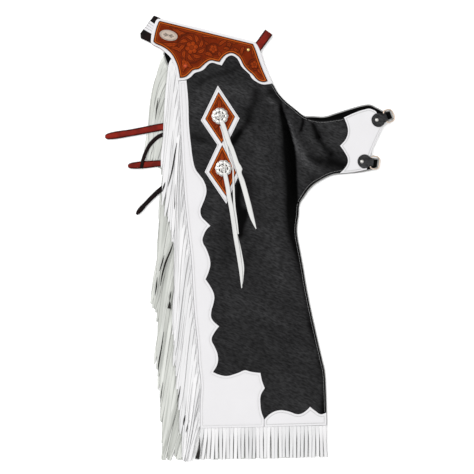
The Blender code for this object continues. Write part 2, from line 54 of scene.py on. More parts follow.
# Camera: straight above. Its view is this wide, and centred here, at the leather's level
VIEW_WIDTH = 1090.2
VIEW_CENTRE = (-29.9, 2.3)
LEATHER_LEVEL = 8.0
LENS = 100.0
SENSOR = 36.0
CAMERA_REACH = 30

# Free strings: x, y, height of the underside and width of each section
UPPER_STRING_WIDE = (
    (-66, 267.5, 17.0, 10), (-62, 259, 16.7, 11), (-57.5, 246, 15.1, 11.3), (-51.5, 228, 15.1, 11),
    (-47.5, 216, 15.1, 10.5), (-43, 207, 14.3, 10.5), (-36.5, 188.5, 13.3, 11),
    (-30.5, 170, 13.3, 12), (-24.5, 157, 13.3, 15), (-25, 151, 13.3, 11.5), (-19, 133.5, 11.3, 12),
    (-13.5, 115, 9.5, 12), (-8.5, 96.5, 9.5, 12), (-3.5, 78, 9.5, 12), (1, 60, 9.5, 11.5),
    (6.5, 41.5, 9.5, 8.5), (14, 21, 9.5, 2),
)
UPPER_STRING_NARROW = (
    (-66.5, 257.5, 13.3, 6.5), (-62, 244, 13.3, 6.8), (-57.5, 225, 13.3, 6.8), (-53, 207, 13.3, 6),
    (-49, 188.5, 13.3, 4), (-41.4, 170, 13.3, 3.2), (-39.4, 162, 13.3, 3), (-38.8, 154, 13.3, 3.2),
    (-38.5, 133.5, 13.3, 3.8), (-38, 123, 13.3, 4.4), (-37.5, 113, 11.5, 4.8),
    (-37, 96.5, 11.3, 4.6), (-35.5, 71, 11.3, 5), (-32.5, 48, 11.3, 5.2), (-30.5, 30, 11.3, 5.8),
    (-28.5, 9, 11.3, 5.8),
)
LOWER_STRING_FRONT = (
    (-57.6, 148, 17.0, 10), (-55.6, 138, 16.7, 10.5), (-50.2, 110, 15.1, 10.5),
    (-48.7, 97, 15.2, 10.5), (-47, 88, 13.6, 10.5), (-44, 74, 13.1, 10.5), (-38, 37, 13.1, 10.5),
    (-33.5, 5, 13.1, 10.5), (-29.5, -18, 11.3, 10.5), (-26.5, -37, 11.3, 10), (-21.5, -74, 11.3, 8),
    (-19, -115, 11.3, 2),
)
LOWER_STRING_BACK = (
    (-55, 138.5, 13.3, 6.5), (-54, 130, 13.3, 7), (-50.5, 110, 13.3, 7), (-48.5, 98, 13.3, 7),
    (-47, 90, 11.5, 7), (-43.5, 70, 9.5, 8), (-38, 37, 9.5, 8), (-31.5, 4, 9.5, 8.5),
    (-27, -14, 9.5, 8.5), (-23, -33, 9.5, 8.5), (-17.5, -69, 9.5, 8.5), (-18, -88, 9.5, 7),
    (-17.5, -106, 9.5, 2),
)
STRING_THICKNESS = 1.5
STRINGS = (  # node, sections, width that it is cut to
    ("upper_string_wide", UPPER_STRING_WIDE, 10.5),
    ("upper_string_narrow", UPPER_STRING_NARROW, 6.0),
    ("lower_string_front", LOWER_STRING_FRONT, 10.5),
    ("lower_string_back", LOWER_STRING_BACK, 8.0),
)

# Straps: x, y, height of the underside and width of each section
LEG_STRAP_UPPER = (
    (-164, 261.5, 3.3, 17), (-207, 255, 3.3, 17), (-270, 243, 3.3, 16), (-326, 234, 3.3, 14),
    (-331, 233, 3.3, 11), (-333.5, 232.5, 3.3, 5),
)
LEG_STRAP_MIDDLE = (
    (-158, 177, 3.3, 15), (-206, 172, 3.3, 15), (-272, 166.5, 3.3, 14), (-278, 166, 3.3, 11),
    (-281, 166, 3.3, 5),
)
LEG_STRAP_LOWER = (
    (-158, 142, 3.3, 11), (-204, 113, 3.3, 11), (-237, 82, 3.3, 10), (-259, 57, 3.3, 8),
    (-261, 54, 3.3, 4),
)
STRAP_KEEPER = (
    (-164, 241, 3.3, 9), (-204, 237, 3.3, 9), (-228, 218, 3.3, 9), (-240, 197, 5.4, 8),
    (-246, 180, 6.8, 8), (-250, 160, 6.8, 7),
)
FRONT_STRAP = (
    (13, 432, 7.1, 20), (43.5, 473.5, 7.1, 21),
)
STRAPS = (  # node, sections, thickness and slot
    ("front_strap", FRONT_STRAP, 2.0, "oxblood_leather"),
    ("leg_strap_upper", LEG_STRAP_UPPER, 3.0, "oxblood_leather"),
    ("leg_strap_middle", LEG_STRAP_MIDDLE, 3.0, "oxblood_leather"),
    # The lower strap and the keeper are seen on edge; their near-black is painted shade
    ("leg_strap_lower", LEG_STRAP_LOWER, 3.0, "dark_leather"),
    ("strap_keeper", STRAP_KEEPER, 2.0, "dark_leather"),
)

# Laces of the back belt, evenly spaced from the first to the last
LACE_COUNT = 4
LACE_WIDTH = 5.6
LACE_BOTTOM = 7.1
FIRST_LACE = ((-231, 497), (-217, 487))
LAST_LACE = ((-243.5, 482.5), (-221, 469.5))

# Fringe: the seams that hold it, from the belt down, as x and y
SIDE_SEAM = (
    (-179, 414), (-172.5, 396), (-164.5, 362), (-161.5, 304), (-150.5, 99), (-141.5, 10),
    (-135.5, -43), (-130.5, -131), (-126.5, -185), (-119.5, -255), (-118.5, -281), (-112.5, -343),
    (-114.5, -374), (-114.5, -436),
)
UNDER_SIDE_SEAM = ((-196.5, 421), (-190.5, 396)) + SIDE_SEAM[2:]
SIDE_STRANDS = (  # height of the root, drift near it, drift further down, and length
    (414, 5, 16, 195), (396, 3, 24, 262), (362, 14, 12, 262), (325, 6, 30, 240), (270, 4, 22, 232),
    (225, 5, 4, 275), (133, 6, 9, 285), (30, 8, 18, 270), (-74, 8, 24, 225), (-150, 7, 22, 232),
    (-230, 6, 19, 276), (-300, 6, 24, 208), (-374, 6, 22, 134), (-436, 5, 14, 74),
)
UNDER_SIDE_STRANDS = (
    (421, 8, 38, 240), (396, 34, 5, 217), (362, 37, 22, 188), (340, 38, 20, 168),
    (300, 32, 14, 132), (262, 22, 8, 120), (225, 36, 14, 220), (190, 36, 18, 290),
    (100, 32, 36, 262), (60, 30, 34, 225), (30, 40, 22, 290), (0, 42, 26, 285), (-50, 40, 28, 290),
    (-100, 38, 27, 285), (-200, 40, 32, 288), (-250, 42, 34, 256), (-374, 30, 34, 134),
    (-436, 14, 20, 72),
)

# Painted shadow in the gaps between the strands, as thin dark slivers: x, y and width of the sections
GAP_SHADOWS = (
    ((-168, 218, 0.8), (-172, 196, 2.6), (-177, 165, 3.2), (-183, 138, 2.2), (-189, 118, 0.8)),
    ((-169, 140, 0.8), (-171, 115, 3.0), (-172.5, 80, 2.4), (-174, 66, 0.8)),
    ((-195, 128, 0.8), (-198, 118, 3.4), (-202, 106, 0.8)),
    ((-176, -10, 1.0), (-182, -28, 3.4), (-194, -57, 4.2), (-202, -87, 3.4), (-205.5, -110, 1.0)),
    ((-197, -40, 0.8), (-202, -58, 3.0), (-208, -76, 0.8)),
    ((-213, -90, 0.8), (-215, -112, 3.4), (-218, -132, 0.8)),
    ((-181, -122, 0.8), (-183, -132, 3.0), (-184.5, -148, 0.8)),
    ((-184, -144, 0.6), (-185, -154, 6.0), (-185.5, -162, 8.0)),
    ((-198, -215, 0.8), (-203, -250, 2.6), (-210, -292, 2.8), (-211, -306, 0.8)),
    ((-200, -330, 0.6), (-204, -360, 2.2), (-206, -378, 0.6)),
    ((-160, -340, 0.6), (-164, -362, 2.0), (-168, -380, 0.6)),
    ((-149, -407, 0.8), (-151, -417, 3.4), (-153.5, -430, 0.8)),
    ((-139.5, -418, 0.6), (-143, -432, 3.0), (-147.5, -446, 0.6)),
    ((-211, 322, 0.8), (-214, 300, 2.8), (-217, 272, 0.8)),
    ((-115, -458, 0.6), (-117, -485, 4.5), (-121, -507, 10.0)),
)
GAP_STEP = 4.0
GAP_LEVEL = 13.8
GAP_THICKNESS = 0.5
HEM_SEAM = ((-114, -437), (176, -431))
HEM_STRANDS = 34
HEM_STRAND_LENGTH = 73
HEM_STEPS = 10

# Folds of the top leg panel: how the right side meets the leather below it, 1 for a sharp
# foot and 2 for a soft one, and the sections of the ridge from the crotch down: x, y, how
# far the leather falls on the left and on the right of it, and how high it stands
FOLDS = (
    (1, (
        (63, 308, 18, 10, 0), (64, 284, 22, 18, 6), (65, 262, 30, 26, 10), (69, 205, 42, 36, 13),
        (76, 117, 44, 34, 12), (84, 64, 40, 26, 5), (88, 42, 30, 20, 0),
    )),
    (2, (
        (82, 298, 8, 12, 2), (100, 262, 10, 30, 7), (120, 213, 15, 34, 8), (134, 160, 16, 30, 5),
        (140, 132, 10, 14, 0),
    )),
    (2, (
        (142, 268, 10, 8, 1), (155, 235, 24, 12, 5), (165, 200, 24, 14, 5), (188, 173, 20, 12, 1),
    )),
)

# Limits of the mesh code
UPWARDS = 0.5  # a face of the upper side has more than this along +Z
BATCH = 1000  # points measured against an outline at a time
WELD = 0.001
CDT_INSIDE = 1  # Blender's code for triangles within the outline
CDT_NEAR = 1e-5
RIDGE_STEP = 9.0  # spacing of the points along a fold's ridge
LEAST_TURN = 1e-6
STILL_APART = 0.98  # share of its distance that an inset point keeps to every side


def smooth_line(rows, step):
    """The rows of an open line with one every step or so, on a smooth curve through them."""
    rows = np.array(rows, float)
    runs = np.diff(rows, axis=0)
    spans = np.linalg.norm(runs[:, :2], axis=1)
    slopes = runs / spans[:, None]
    tangents = np.vstack((slopes[:1], (slopes[1:] + slopes[:-1]) / 2, slopes[-1:]))
    points = []
    for index, span in enumerate(spans):
        for share in np.arange(count := max(1, round(span / step))) / count:
            points.append(hermite(rows, tangents, tangents, index, index + 1, span, share))
    return np.array(points + [rows[-1]])


def hermite(rows, leaving, arriving, first, second, span, share):
    """The row at this share of the way from the first to the second, with these slopes."""
    square, cube = share * share, share * share * share
    return (
        (2 * cube - 3 * square + 1) * rows[first]
        + (cube - 2 * square + share) * span * leaving[first]
        + (3 * square - 2 * cube) * rows[second]
        + (cube - square) * span * arriving[second]
    )


def smooth_loop(loop, step, corner=38):
    """The closed outline with a point every step or so, smooth between its corners."""
    before = loop - np.roll(loop, 1, axis=0)
    after = np.roll(loop, -1, axis=0) - loop
    before_span = np.linalg.norm(before, axis=1)[:, None]
    after_span = np.linalg.norm(after, axis=1)[:, None]
    before, after = before / before_span, after / after_span
    tangent = before * before_span + after * after_span
    tangent /= np.linalg.norm(tangent, axis=1)[:, None]
    sharp = (before * after).sum(axis=1) < math.cos(math.radians(corner))
    leaving = np.where(sharp[:, None], after, tangent)
    arriving = np.where(sharp[:, None], before, tangent)
    points = []
    for index, span in enumerate(after_span[:, 0]):
        for share in np.arange(count := max(1, round(span / step))) / count:
            following = (index + 1) % len(loop)
            points.append(hermite(loop, leaving, arriving, index, following, span, share))
    return np.array(points)


def smoothstep(value):
    """A soft rise from 0 to 1 as the value goes from 0 to 1."""
    share = np.clip(value, 0, 1)
    return share * share * (3 - 2 * share)


def bell(offset, width):
    """1 where the offset is 0, falling softly to both sides of it."""
    return np.exp(-((offset / width) ** 2))


def distances_along(line):
    """How far along the line each of its points is."""
    return np.concatenate(((0.0,), np.cumsum(np.linalg.norm(np.diff(line, axis=0), axis=1))))


def points_at(line, places):
    """The x and y of the line at these distances along it."""
    reached = distances_along(line)
    return np.column_stack([np.interp(places, reached, line[:, axis]) for axis in (0, 1)])


def node_outline(node):
    """The outline of a CAD node's upper face, anticlockwise."""
    shape = bmesh.new()
    shape.from_mesh(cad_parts[node].data)
    bmesh.ops.remove_doubles(shape, verts=shape.verts, dist=WELD * MM)
    shape.normal_update()
    following = {}
    for face in shape.faces:
        if face.normal.z < UPWARDS:
            continue
        for corner in face.loops:
            if any(other.normal.z < UPWARDS for other in corner.edge.link_faces):
                following[corner.vert] = corner.link_loop_next.vert
    vert = next(iter(following))
    loop = []
    for _ in following:
        loop.append(vert.co.xy / MM)
        vert = following[vert]
    shape.free()
    return np.array(loop)


def edge_distance(points, loop):
    """How far each point is from the closed outline."""
    runs = np.roll(loop, -1, axis=0) - loop
    squares = (runs**2).sum(axis=1)
    nearest = []
    for some in np.array_split(points, len(points) // BATCH + 1):
        offsets = some[:, None] - loop
        along = np.clip((offsets * runs).sum(axis=2) / squares, 0, 1)
        gaps = offsets - along[:, :, None] * runs
        nearest.append(np.sqrt((gaps**2).sum(axis=2).min(axis=1)))
    return np.concatenate(nearest)


def inside(points, loop):
    """Whether each point is within the closed outline."""
    x, y = points.T
    odd = np.zeros(len(points), bool)
    for (x0, y0), (x1, y1) in zip(loop, np.roll(loop, -1, axis=0)):
        if y0 != y1:
            odd ^= ((y0 > y) != (y1 > y)) & (x < (x1 - x0) * (y - y0) / (y1 - y0) + x0)
    return odd


def inset_line(loop, distance):
    """The outline moved inwards, without the stretches that meet another side."""
    moved = loop + side_normals(loop) * distance
    keep = inside(moved, loop) & (edge_distance(moved, loop) > distance * STILL_APART)
    return moved[keep]


def filling(loop, pitch, rings):
    """Points inside the outline: rings at these distances from it, and an even grid."""
    low, high = loop.min(axis=0), loop.max(axis=0)
    lines = []
    for row, y in enumerate(np.arange(low[1], high[1], pitch * math.sqrt(3) / 2)):
        x = np.arange(low[0] + pitch / 2 * (row % 2), high[0], pitch)
        lines.append(np.column_stack((x, np.full(len(x), y))))
    grid = np.vstack(lines)
    grid = grid[inside(grid, loop)]
    grid = grid[edge_distance(grid, loop) > rings[-1] + pitch * 0.5]
    return np.vstack([inset_line(loop, distance) for distance in rings] + [grid])


def triangles(loop, inner):
    """Triangles between the outline's points and those inside it, anticlockwise."""
    points = [Vector(point) for point in np.vstack((loop, inner)).tolist()]
    edges = [(index, (index + 1) % len(loop)) for index in range(len(loop))]
    _, _, faces, sources, _, _ = delaunay_2d_cdt(points, edges, [], CDT_INSIDE, CDT_NEAR)
    found = np.array([[sources[corner][0] for corner in face] for face in faces])
    flat = np.vstack((loop, inner))
    a, b, c = flat[found[:, 0]], flat[found[:, 1]], flat[found[:, 2]]
    turn = (b - a)[:, 0] * (c - a)[:, 1] - (b - a)[:, 1] * (c - a)[:, 0]
    found[turn < 0] = found[turn < 0][:, ::-1]
    return found[np.abs(turn) > LEAST_TURN]


def add_piece(name, verts, faces, look, nodes=(), values=None, sharp=40):
    """A piece of these points and faces that rides on the chaps and replaces the nodes.

    look is its material and a slot name, which is not used. values gives each point the numbers that it
    reads.
    """
    material, slot = look
    mesh = bpy.data.meshes.new(name)
    mesh.from_pydata((np.asarray(verts) * MM).tolist(), [], [list(face) for face in faces])
    mesh.update()
    for label, numbers in (values or {}).items():
        layer = mesh.attributes.new(label, "FLOAT", "POINT")
        layer.data.foreach_set("value", np.asarray(numbers, np.float32))
    shape = bmesh.new()
    shape.from_mesh(mesh)
    loose = [vert for vert in shape.verts if not vert.link_faces]
    bmesh.ops.delete(shape, geom=loose, context="VERTS")
    shape.to_mesh(mesh)
    shape.free()
    mesh.shade_smooth()
    mesh.set_sharp_from_angle(angle=math.radians(sharp))
    mesh.materials.append(material)
    piece = bpy.data.objects.new(name, mesh)
    bpy.context.scene.collection.objects.link(piece)
    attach(piece, "root")
    if nodes:
        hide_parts(*nodes)
    return piece


def rounded(distance, radius):
    """How far a rounded edge drops at this distance from the side."""
    short = np.clip(radius - distance, 0, radius)
    return radius - np.sqrt(radius**2 - short**2)


# Leather pieces: their edges, sides and stitched seams
LEG_LEATHER = 2.0
LAYER_GROOVES = (2.2,)
OVERLAY_SEAMS = (("side_band", 5.5), ("hem_band", 5.0), ("wing_tab", 4.2))
HIDDEN_PITCH = 12.0
OVERLAY_PITCH = 4.0
TOOLED_PITCH = 0.8
UNDERSIDE_COARSER = 2.5
GROOVE_HALF = 0.35
GROOVE_DEPTH = 0.5
FOOT_RADIUS = 0.25
SEAM_DEPTH = 0.3
SEAM_WIDTH = 0.9
SEAM_LINE = 0.6


def side_levels(grooves):
    """Rows down the side of a piece, as depth into it and height: its grooves, then its foot."""
    levels = []
    for height in sorted(grooves, reverse=True):
        levels += [(0.0, height + GROOVE_HALF), (GROOVE_DEPTH, height), (0.0, height - GROOVE_HALF)]
    return levels + [(0.0, FOOT_RADIUS), (FOOT_RADIUS, 0.0)]


def slab(node, look, pitch=OVERLAY_PITCH, step=2.5, edge=0.7, lift=None, relief=None, seam=None,
         grooves=(), rings=(), face_down=False):
    """A leather piece of a CAD node's outline, and that outline.

    pitch and step are the spacing of the points on its faces and round its side. edge is the
    radius of its upper edge, and rings are the distances from the side where its face has
    rings of points. lift(points) raises both faces. relief(points, distance) gives what
    stands proud of the upper face, and the values that the material reads. seam is the
    distance of a stitched groove from the side. grooves are the heights of the gaps between
    layers on the side.
    """
    low, high = (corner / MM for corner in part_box(node))
    thickness = (high.z - low.z) if lift is None else LEG_LEATHER
    loop = smooth_loop(node_outline(node), step)
    inner = filling(loop, pitch, (edge * 0.3, edge, *rings))
    flat = np.vstack((loop, inner))
    distance = np.concatenate((np.zeros(len(loop)), edge_distance(inner, loop)))
    raised = np.zeros(len(flat)) if lift is None else lift(flat)
    proud, values = (0.0, {}) if relief is None else relief(flat, distance)
    if seam is not None:
        # The material paints the stitched groove's shade as a grey line
        values["seam"] = bell(distance - seam, SEAM_LINE)
    upper = thickness + raised + proud - rounded(distance, edge)
    if seam is not None:
        upper = upper - SEAM_DEPTH * bell(distance - seam, SEAM_WIDTH)
    faces = [triangles(loop, inner)]
    verts = [np.column_stack((flat, upper))]
    count = len(flat)
    ring = above = np.arange(len(loop))
    levels = side_levels(grooves)
    for depth, height in levels:
        row = loop + side_normals(loop) * depth
        verts.append(np.column_stack((row, raised[: len(loop)] + height)))
        below = ring + count
        faces.append(np.column_stack((above, below, np.roll(below, -1), np.roll(above, -1))))
        above = below
        count += len(loop)
    under = np.zeros((0, 2)) if lift is None else filling(loop, pitch * UNDERSIDE_COARSER, (pitch,))
    verts.append(np.column_stack((under, [] if lift is None else lift(under))))
    patch = triangles(loop, under)[:, ::-1]
    patch = np.where(patch < len(loop), patch + count - len(loop), patch - len(loop) + count)
    faces.append(patch)
    points = np.vstack(verts)
    if face_down:
        points[:, 2] = thickness - points[:, 2]
        faces = [rows[:, ::-1] for rows in faces]
    points[:, 2] += low.z
    for label, numbers in values.items():
        side = [numbers[: len(loop)]] * len(levels)
        values[label] = np.concatenate((numbers, *side, np.zeros(len(under))))
    every_face = [face for rows in faces for face in rows.tolist()]
    piece = add_piece(node + "_leather", points, every_face, look, (node,), values)
    return loop


def side_normals(loop):
    """Unit directions into an anticlockwise outline, one at each point."""
    along = np.roll(loop, -1, axis=0) - np.roll(loop, 1, axis=0)
    along /= np.linalg.norm(along, axis=1)[:, None]
    return np.column_stack((-along[:, 1], along[:, 0]))


def mirrored(half):
    """A whole cross-section from its right half, listed upwards."""
    return np.roll(half + tuple((-x, y) for x, y in reversed(half)), 2, axis=0)


# Cross-sections of strips: share of the width and of the thickness
STRIP_SECTION = mirrored(((0.46, 0.0), (0.5, 0.3), (0.5, 0.7), (0.46, 0.95), (0.25, 1.06)))
STRAP_SECTION = mirrored((
    (0.47, 0.0), (0.5, 0.25), (0.5, 0.72), (0.46, 0.92), (0.4, 0.97), (0.385, 0.86), (0.36, 0.97),
    (0.15, 1.06),
))


def tube_faces(rings, sides, closed=False):
    """Faces between rings of points, one after another. A closed tube ends where it starts."""
    faces = []
    for ring in range(rings if closed else rings - 1):
        here, there = ring * sides, (ring + 1) % rings * sides
        for side in range(sides):
            following = (side + 1) % sides
            faces.append((here + side, there + side, there + following, here + following))
    if not closed:
        faces.append(tuple(range(sides)))
        faces.append(tuple(range(rings * sides - 1, (rings - 1) * sides - 1, -1)))
    return faces


def outward(verts, faces):
    """The faces, turned over if they point into the closed form."""
    volume = 0.0
    for face in faces:
        first = verts[face[0]]
        for second, third in zip(face[1:-1], face[2:]):
            volume += np.dot(first, np.cross(verts[second], verts[third]))
    return faces if volume >= 0 else [face[::-1] for face in faces]


def strip(rows, thickness, section=STRIP_SECTION, rolls=None, across=None):
    """Points and faces of a strip along rows of x, y, height of the underside and width.

    rolls turn its sections about the line, and across are the ways that their widths lie.
    """
    rows = np.asarray(rows, float)
    centres = rows[:, :3]
    tangents = np.gradient(centres, axis=0)
    tangents /= np.linalg.norm(tangents, axis=1)[:, None]
    if across is None:
        across = np.column_stack((-tangents[:, 1], tangents[:, 0], np.zeros(len(rows))))
    across = across / np.linalg.norm(across, axis=1)[:, None]
    ups = np.cross(tangents, across)
    ups[ups[:, 2] < 0] *= -1
    ups /= np.linalg.norm(ups, axis=1)[:, None]
    if rolls is not None:
        turned = across * np.cos(rolls)[:, None] + ups * np.sin(rolls)[:, None]
        ups = ups * np.cos(rolls)[:, None] - across * np.sin(rolls)[:, None]
        across = turned
    verts = (
        centres[:, None]
        + across[:, None] * (section[:, 0] * rows[:, 3:4])[:, :, None]
        + ups[:, None] * (section[:, 1] * thickness)[None, :, None]
    )
    verts = verts.reshape(-1, 3)
    return verts, outward(verts, tube_faces(len(rows), len(section)))


def joined(parts):
    """One list of points and one of faces from several."""
    verts, faces, count = [], [], 0
    for some_verts, some_faces in parts:
        verts.append(some_verts)
        faces += [tuple(corner + count for corner in face) for face in some_faces]
        count += len(some_verts)
    return np.vstack(verts), faces


DULLED = 0.8  # darker places of a metal or a thread, as a share of its colour


class Finish:
    """A Principled material. Its textures run in the frame's own metres."""

    def __init__(self, name, roughness, metallic=0.0, specular=0.5):
        self.material = bpy.data.materials.new(name)
        self.material.use_nodes = True
        self.nodes = self.material.node_tree.nodes
        self.links = self.material.node_tree.links
        self.shader = self.nodes["Principled BSDF"]
        self.shader.inputs["Roughness"].default_value = roughness
        self.shader.inputs["Metallic"].default_value = metallic
        self.shader.inputs["Specular IOR Level"].default_value = specular
        self.place = self.nodes.new("ShaderNodeTexCoord").outputs["Object"]
        self.normal = None

    def plug(self, socket, value):
        if isinstance(value, bpy.types.NodeSocket):
            self.links.new(value, socket)
        else:
            socket.default_value = value

    def node(self, kind, **inputs):
        """A new node. Each input is a value or the socket that feeds it."""
        made = self.nodes.new("ShaderNode" + kind)
        for label, value in inputs.items():
            self.plug(made.inputs[label.replace("_", " ")], value)
        return made

    def noise(self, scale, detail=3.0, stretch=None, turn=0.0):
        """Noise of this many waves a metre, across the way that it is stretched."""
        place = self.place if stretch is None else self.stretched(stretch, turn)
        return self.node("TexNoise", Vector=place, Scale=scale, Detail=detail).outputs[0]

    def cells(self, scale, feature="F1"):
        """How far each place is from the middle of its cell, this many cells to a metre."""
        made = self.node("TexVoronoi", Vector=self.place, Scale=scale)
        made.feature = feature
        return made.outputs["Distance"]

    def stretched(self, stretch, turn):
        """Coordinates whose textures are stretched this much along their turned axes."""
        rotation = (0, 0, math.radians(turn))
        made = self.node("Mapping", Vector=self.place, Scale=stretch, Rotation=rotation)
        made.vector_type = "TEXTURE"
        return made.outputs[0]

    def value(self, label):
        """The number that the mesh gives each of its points under this label."""
        made = self.node("Attribute")
        made.attribute_name = label
        return made.outputs["Fac"]

    def spread(self, value, low, high, to_low=0.0, to_high=1.0):
        """The value, with its range from low to high brought to another range."""
        made = self.node("MapRange", Value=value, From_Min=low, From_Max=high)
        self.plug(made.inputs["To Min"], to_low)
        self.plug(made.inputs["To Max"], to_high)
        return made.outputs[0]

    def product(self, first, second):
        made = self.node("Math")
        made.operation = "MULTIPLY"
        self.plug(made.inputs[0], first)
        self.plug(made.inputs[1], second)
        return made.outputs[0]

    def mix(self, share, first, second):
        """A colour between two others, which are colours or sockets."""
        made = self.node("Mix")
        made.data_type = "RGBA"
        self.plug(made.inputs[0], share)
        for socket, colour in ((made.inputs[6], first), (made.inputs[7], second)):
            self.plug(socket, colour if isinstance(colour, bpy.types.NodeSocket) else (*colour, 1))
        return made.outputs[2]

    def colour(self, value):
        self.plug(self.shader.inputs["Base Color"], value)

    def roughness(self, value):
        self.plug(self.shader.inputs["Roughness"], value)

    def bump(self, height, depth, strength=1.0):
        """Adds a relief whose full height is depth, in millimetres."""
        made = self.node("Bump", Strength=strength, Distance=depth * MM, Height=height)
        if self.normal is not None:
            self.plug(made.inputs["Normal"], self.normal)
        self.normal = made.outputs[0]
        self.plug(self.shader.inputs["Normal"], self.normal)


def black_leather():
    """Pebbled black leather with a fine slanting grain and a mottled grey, carrying painted highlights and
    painted shade.
    """
    deep, greyed, raw = (0.0003, 0.0003, 0.0003), (0.08, 0.08, 0.083), (0.36, 0.36, 0.35)
    slant = -24
    made = Finish("black_leather", 0.42, specular=0.02)
    grain = made.noise(300, 4, stretch=(3.0, 1.0, 1.0), turn=slant)
    cloud = made.noise(42, 4, stretch=(1.8, 1.0, 1.0), turn=slant)
    grained = made.spread(grain, 0.32, 0.68, 0.45, 1.55)
    clouded = made.spread(cloud, 0.3, 0.7, 0.8, 1.2)
    mottled = made.product(grained, clouded)
    tone_and_painted_light = made.product(made.value("tone_and_painted_light"), mottled)
    # From deep black to grey: the mesh's tone carries painted shade and painted highlights
    toned = made.mix(tone_and_painted_light, deep, greyed)
    # The lighter line near the side: the raw cut edge with a painted highlight of its sheen
    made.colour(made.mix(made.value("bare"), toned, raw))
    made.roughness(made.spread(grain, 0.3, 0.7, 0.36, 0.55))
    made.bump(made.noise(95, 3, stretch=(2.4, 1.0, 1.0), turn=slant), 1.2)
    made.bump(grain, 0.7)
    return made.material


def white_leather():
    """Smooth white leather with faint pores, a trace of handling and painted shade along its stitched
    grooves.
    """
    shaded, bright, seam = (0.55, 0.543, 0.553), (0.585, 0.578, 0.59), (0.3, 0.3, 0.3)
    made = Finish("white_leather", 0.46, specular=0.2)
    tone = made.mix(made.noise(18, 4), shaded, bright)
    # Painted shade: a grey line along each stitched groove
    made.colour(made.mix(made.value("seam"), tone, seam))
    made.roughness(made.spread(made.noise(150, 3), 0.3, 0.7, 0.4, 0.55))
    made.bump(made.cells(900, "SMOOTH_F1"), 0.12, 0.5)
    made.bump(made.noise(45, 3), 0.35, 0.5)
    return made.material


def fringe_leather(name, light, dark, edge):
    """Cut strands: each has its own tone, and their cut edges show the raw leather, darkened further as
    painted shade where the strands part.
    """
    made = Finish(name, 0.55, specular=0.15)
    tone = made.mix(made.value("tone"), light, dark)
    streaks = made.noise(70, 4, stretch=(1.0, 8.0, 1.0))
    toned = made.mix(made.spread(streaks, 0.5, 0.8, 0.0, 0.2), tone, edge)
    # Dark cut edges: the raw leather, and painted shade between the strands
    made.colour(made.mix(made.spread(made.value("side"), 0.8, 1.0), toned, edge))
    made.bump(made.noise(420, 3, stretch=(1.0, 3.0, 1.0)), 0.2, 0.6)
    return made.material


def tooled_leather():
    """Carved leather: antique stain in the cuts, a matted ground and a brighter rim."""
    ground_tones = (0.085, 0.008, 0.001), (0.15, 0.014, 0.0016)
    raised_tones = (0.19, 0.02, 0.0018), (0.31, 0.038, 0.003)
    rim_tones = (0.36, 0.057, 0.005), (0.5, 0.1, 0.01)
    stain, warm_gloss = (0.022, 0.003, 0.0015), (1, 0.5, 0.25, 1)
    made = Finish("tooled_leather", 0.42, specular=0.1)
    made.shader.inputs["Specular Tint"].default_value = warm_gloss
    cloud = made.noise(55, 4)
    ground, raised, rim = (
        made.mix(cloud, *tones) for tones in (ground_tones, raised_tones, rim_tones)
    )
    field = made.mix(made.value("carved"), ground, raised)
    tinted = made.mix(made.value("rim"), field, rim)
    made.colour(made.mix(made.value("stain"), tinted, stain))
    matting = made.product(made.cells(620), made.value("matted"))
    made.bump(matting, 0.8, 0.9)
    made.bump(made.noise(240, 3), 0.25, 0.6)
    return made.material


def strap_leather(name, light, dark, edge):
    """Oiled strap leather, mottled, with darker burnished edges."""
    made = Finish(name, 0.4, specular=0.05)
    cloud = made.spread(made.noise(48, 5), 0.35, 0.65)
    body = made.mix(cloud, dark, light)
    made.colour(made.mix(made.spread(made.value("side"), 0.5, 0.92), body, edge))
    made.roughness(made.spread(made.noise(90, 3), 0.3, 0.7, 0.32, 0.5))
    made.bump(made.noise(380, 4), 0.3, 0.6)
    return made.material


def engraved_metal(name, polished, tarnish, roughness):
    """Polished metal with dark oxide left in its recesses and fine scratches."""
    made = Finish(name, roughness, metallic=1.0)
    toned = made.mix(made.noise(160, 4), polished, [DULLED * share for share in polished])
    made.colour(made.mix(made.value("recess"), toned, tarnish))
    made.roughness(made.spread(made.value("recess"), 0.0, 1.0, roughness, 0.6))
    made.bump(made.noise(900, 3, stretch=(1.0, 6.0, 1.0), turn=35), 0.05, 0.5)
    return made.material


# The cut-edge colours are the raw leather darkened further as painted shade between strands
CUT_LEATHERS = (  # material, its light, dark and cut-edge colours, and slot
    ("fringe_leather", (0.63, 0.625, 0.63), (0.54, 0.54, 0.545), (0.14, 0.14, 0.14), "white_leather"),
    # The under fringe's flesh side: greyer than the top fringe partly for its own tone and partly as
    # painted shade, with near-black edges of painted shade
    ("fringe_flesh_side_painted_shade", (0.57, 0.58, 0.55), (0.345, 0.355, 0.33), (0.03, 0.028, 0.024), "white_leather"),
    ("string_leather", (0.56, 0.56, 0.55), (0.42, 0.42, 0.41), (0.12, 0.12, 0.12), "white_leather"),
    # fringe_gap: painted shadow laid in the gaps between strands
    ("fringe_gap", (0.006, 0.005, 0.004), (0.006, 0.005, 0.004), (0.004, 0.003, 0.002), "dark_leather"),
)
STRAP_LEATHERS = (  # material and slot, and its light, dark and edge colours
    ("oxblood_leather", (0.2, 0.011, 0.005), (0.09, 0.0055, 0.003), (0.016, 0.002, 0.0015)),
    # dark_leather is black for the back belt, and painted shade on the lower strap and the keeper
    ("dark_leather", (0.007, 0.0015, 0.0012), (0.002, 0.0006, 0.0006), (0.002, 0.0008, 0.0008)),
)
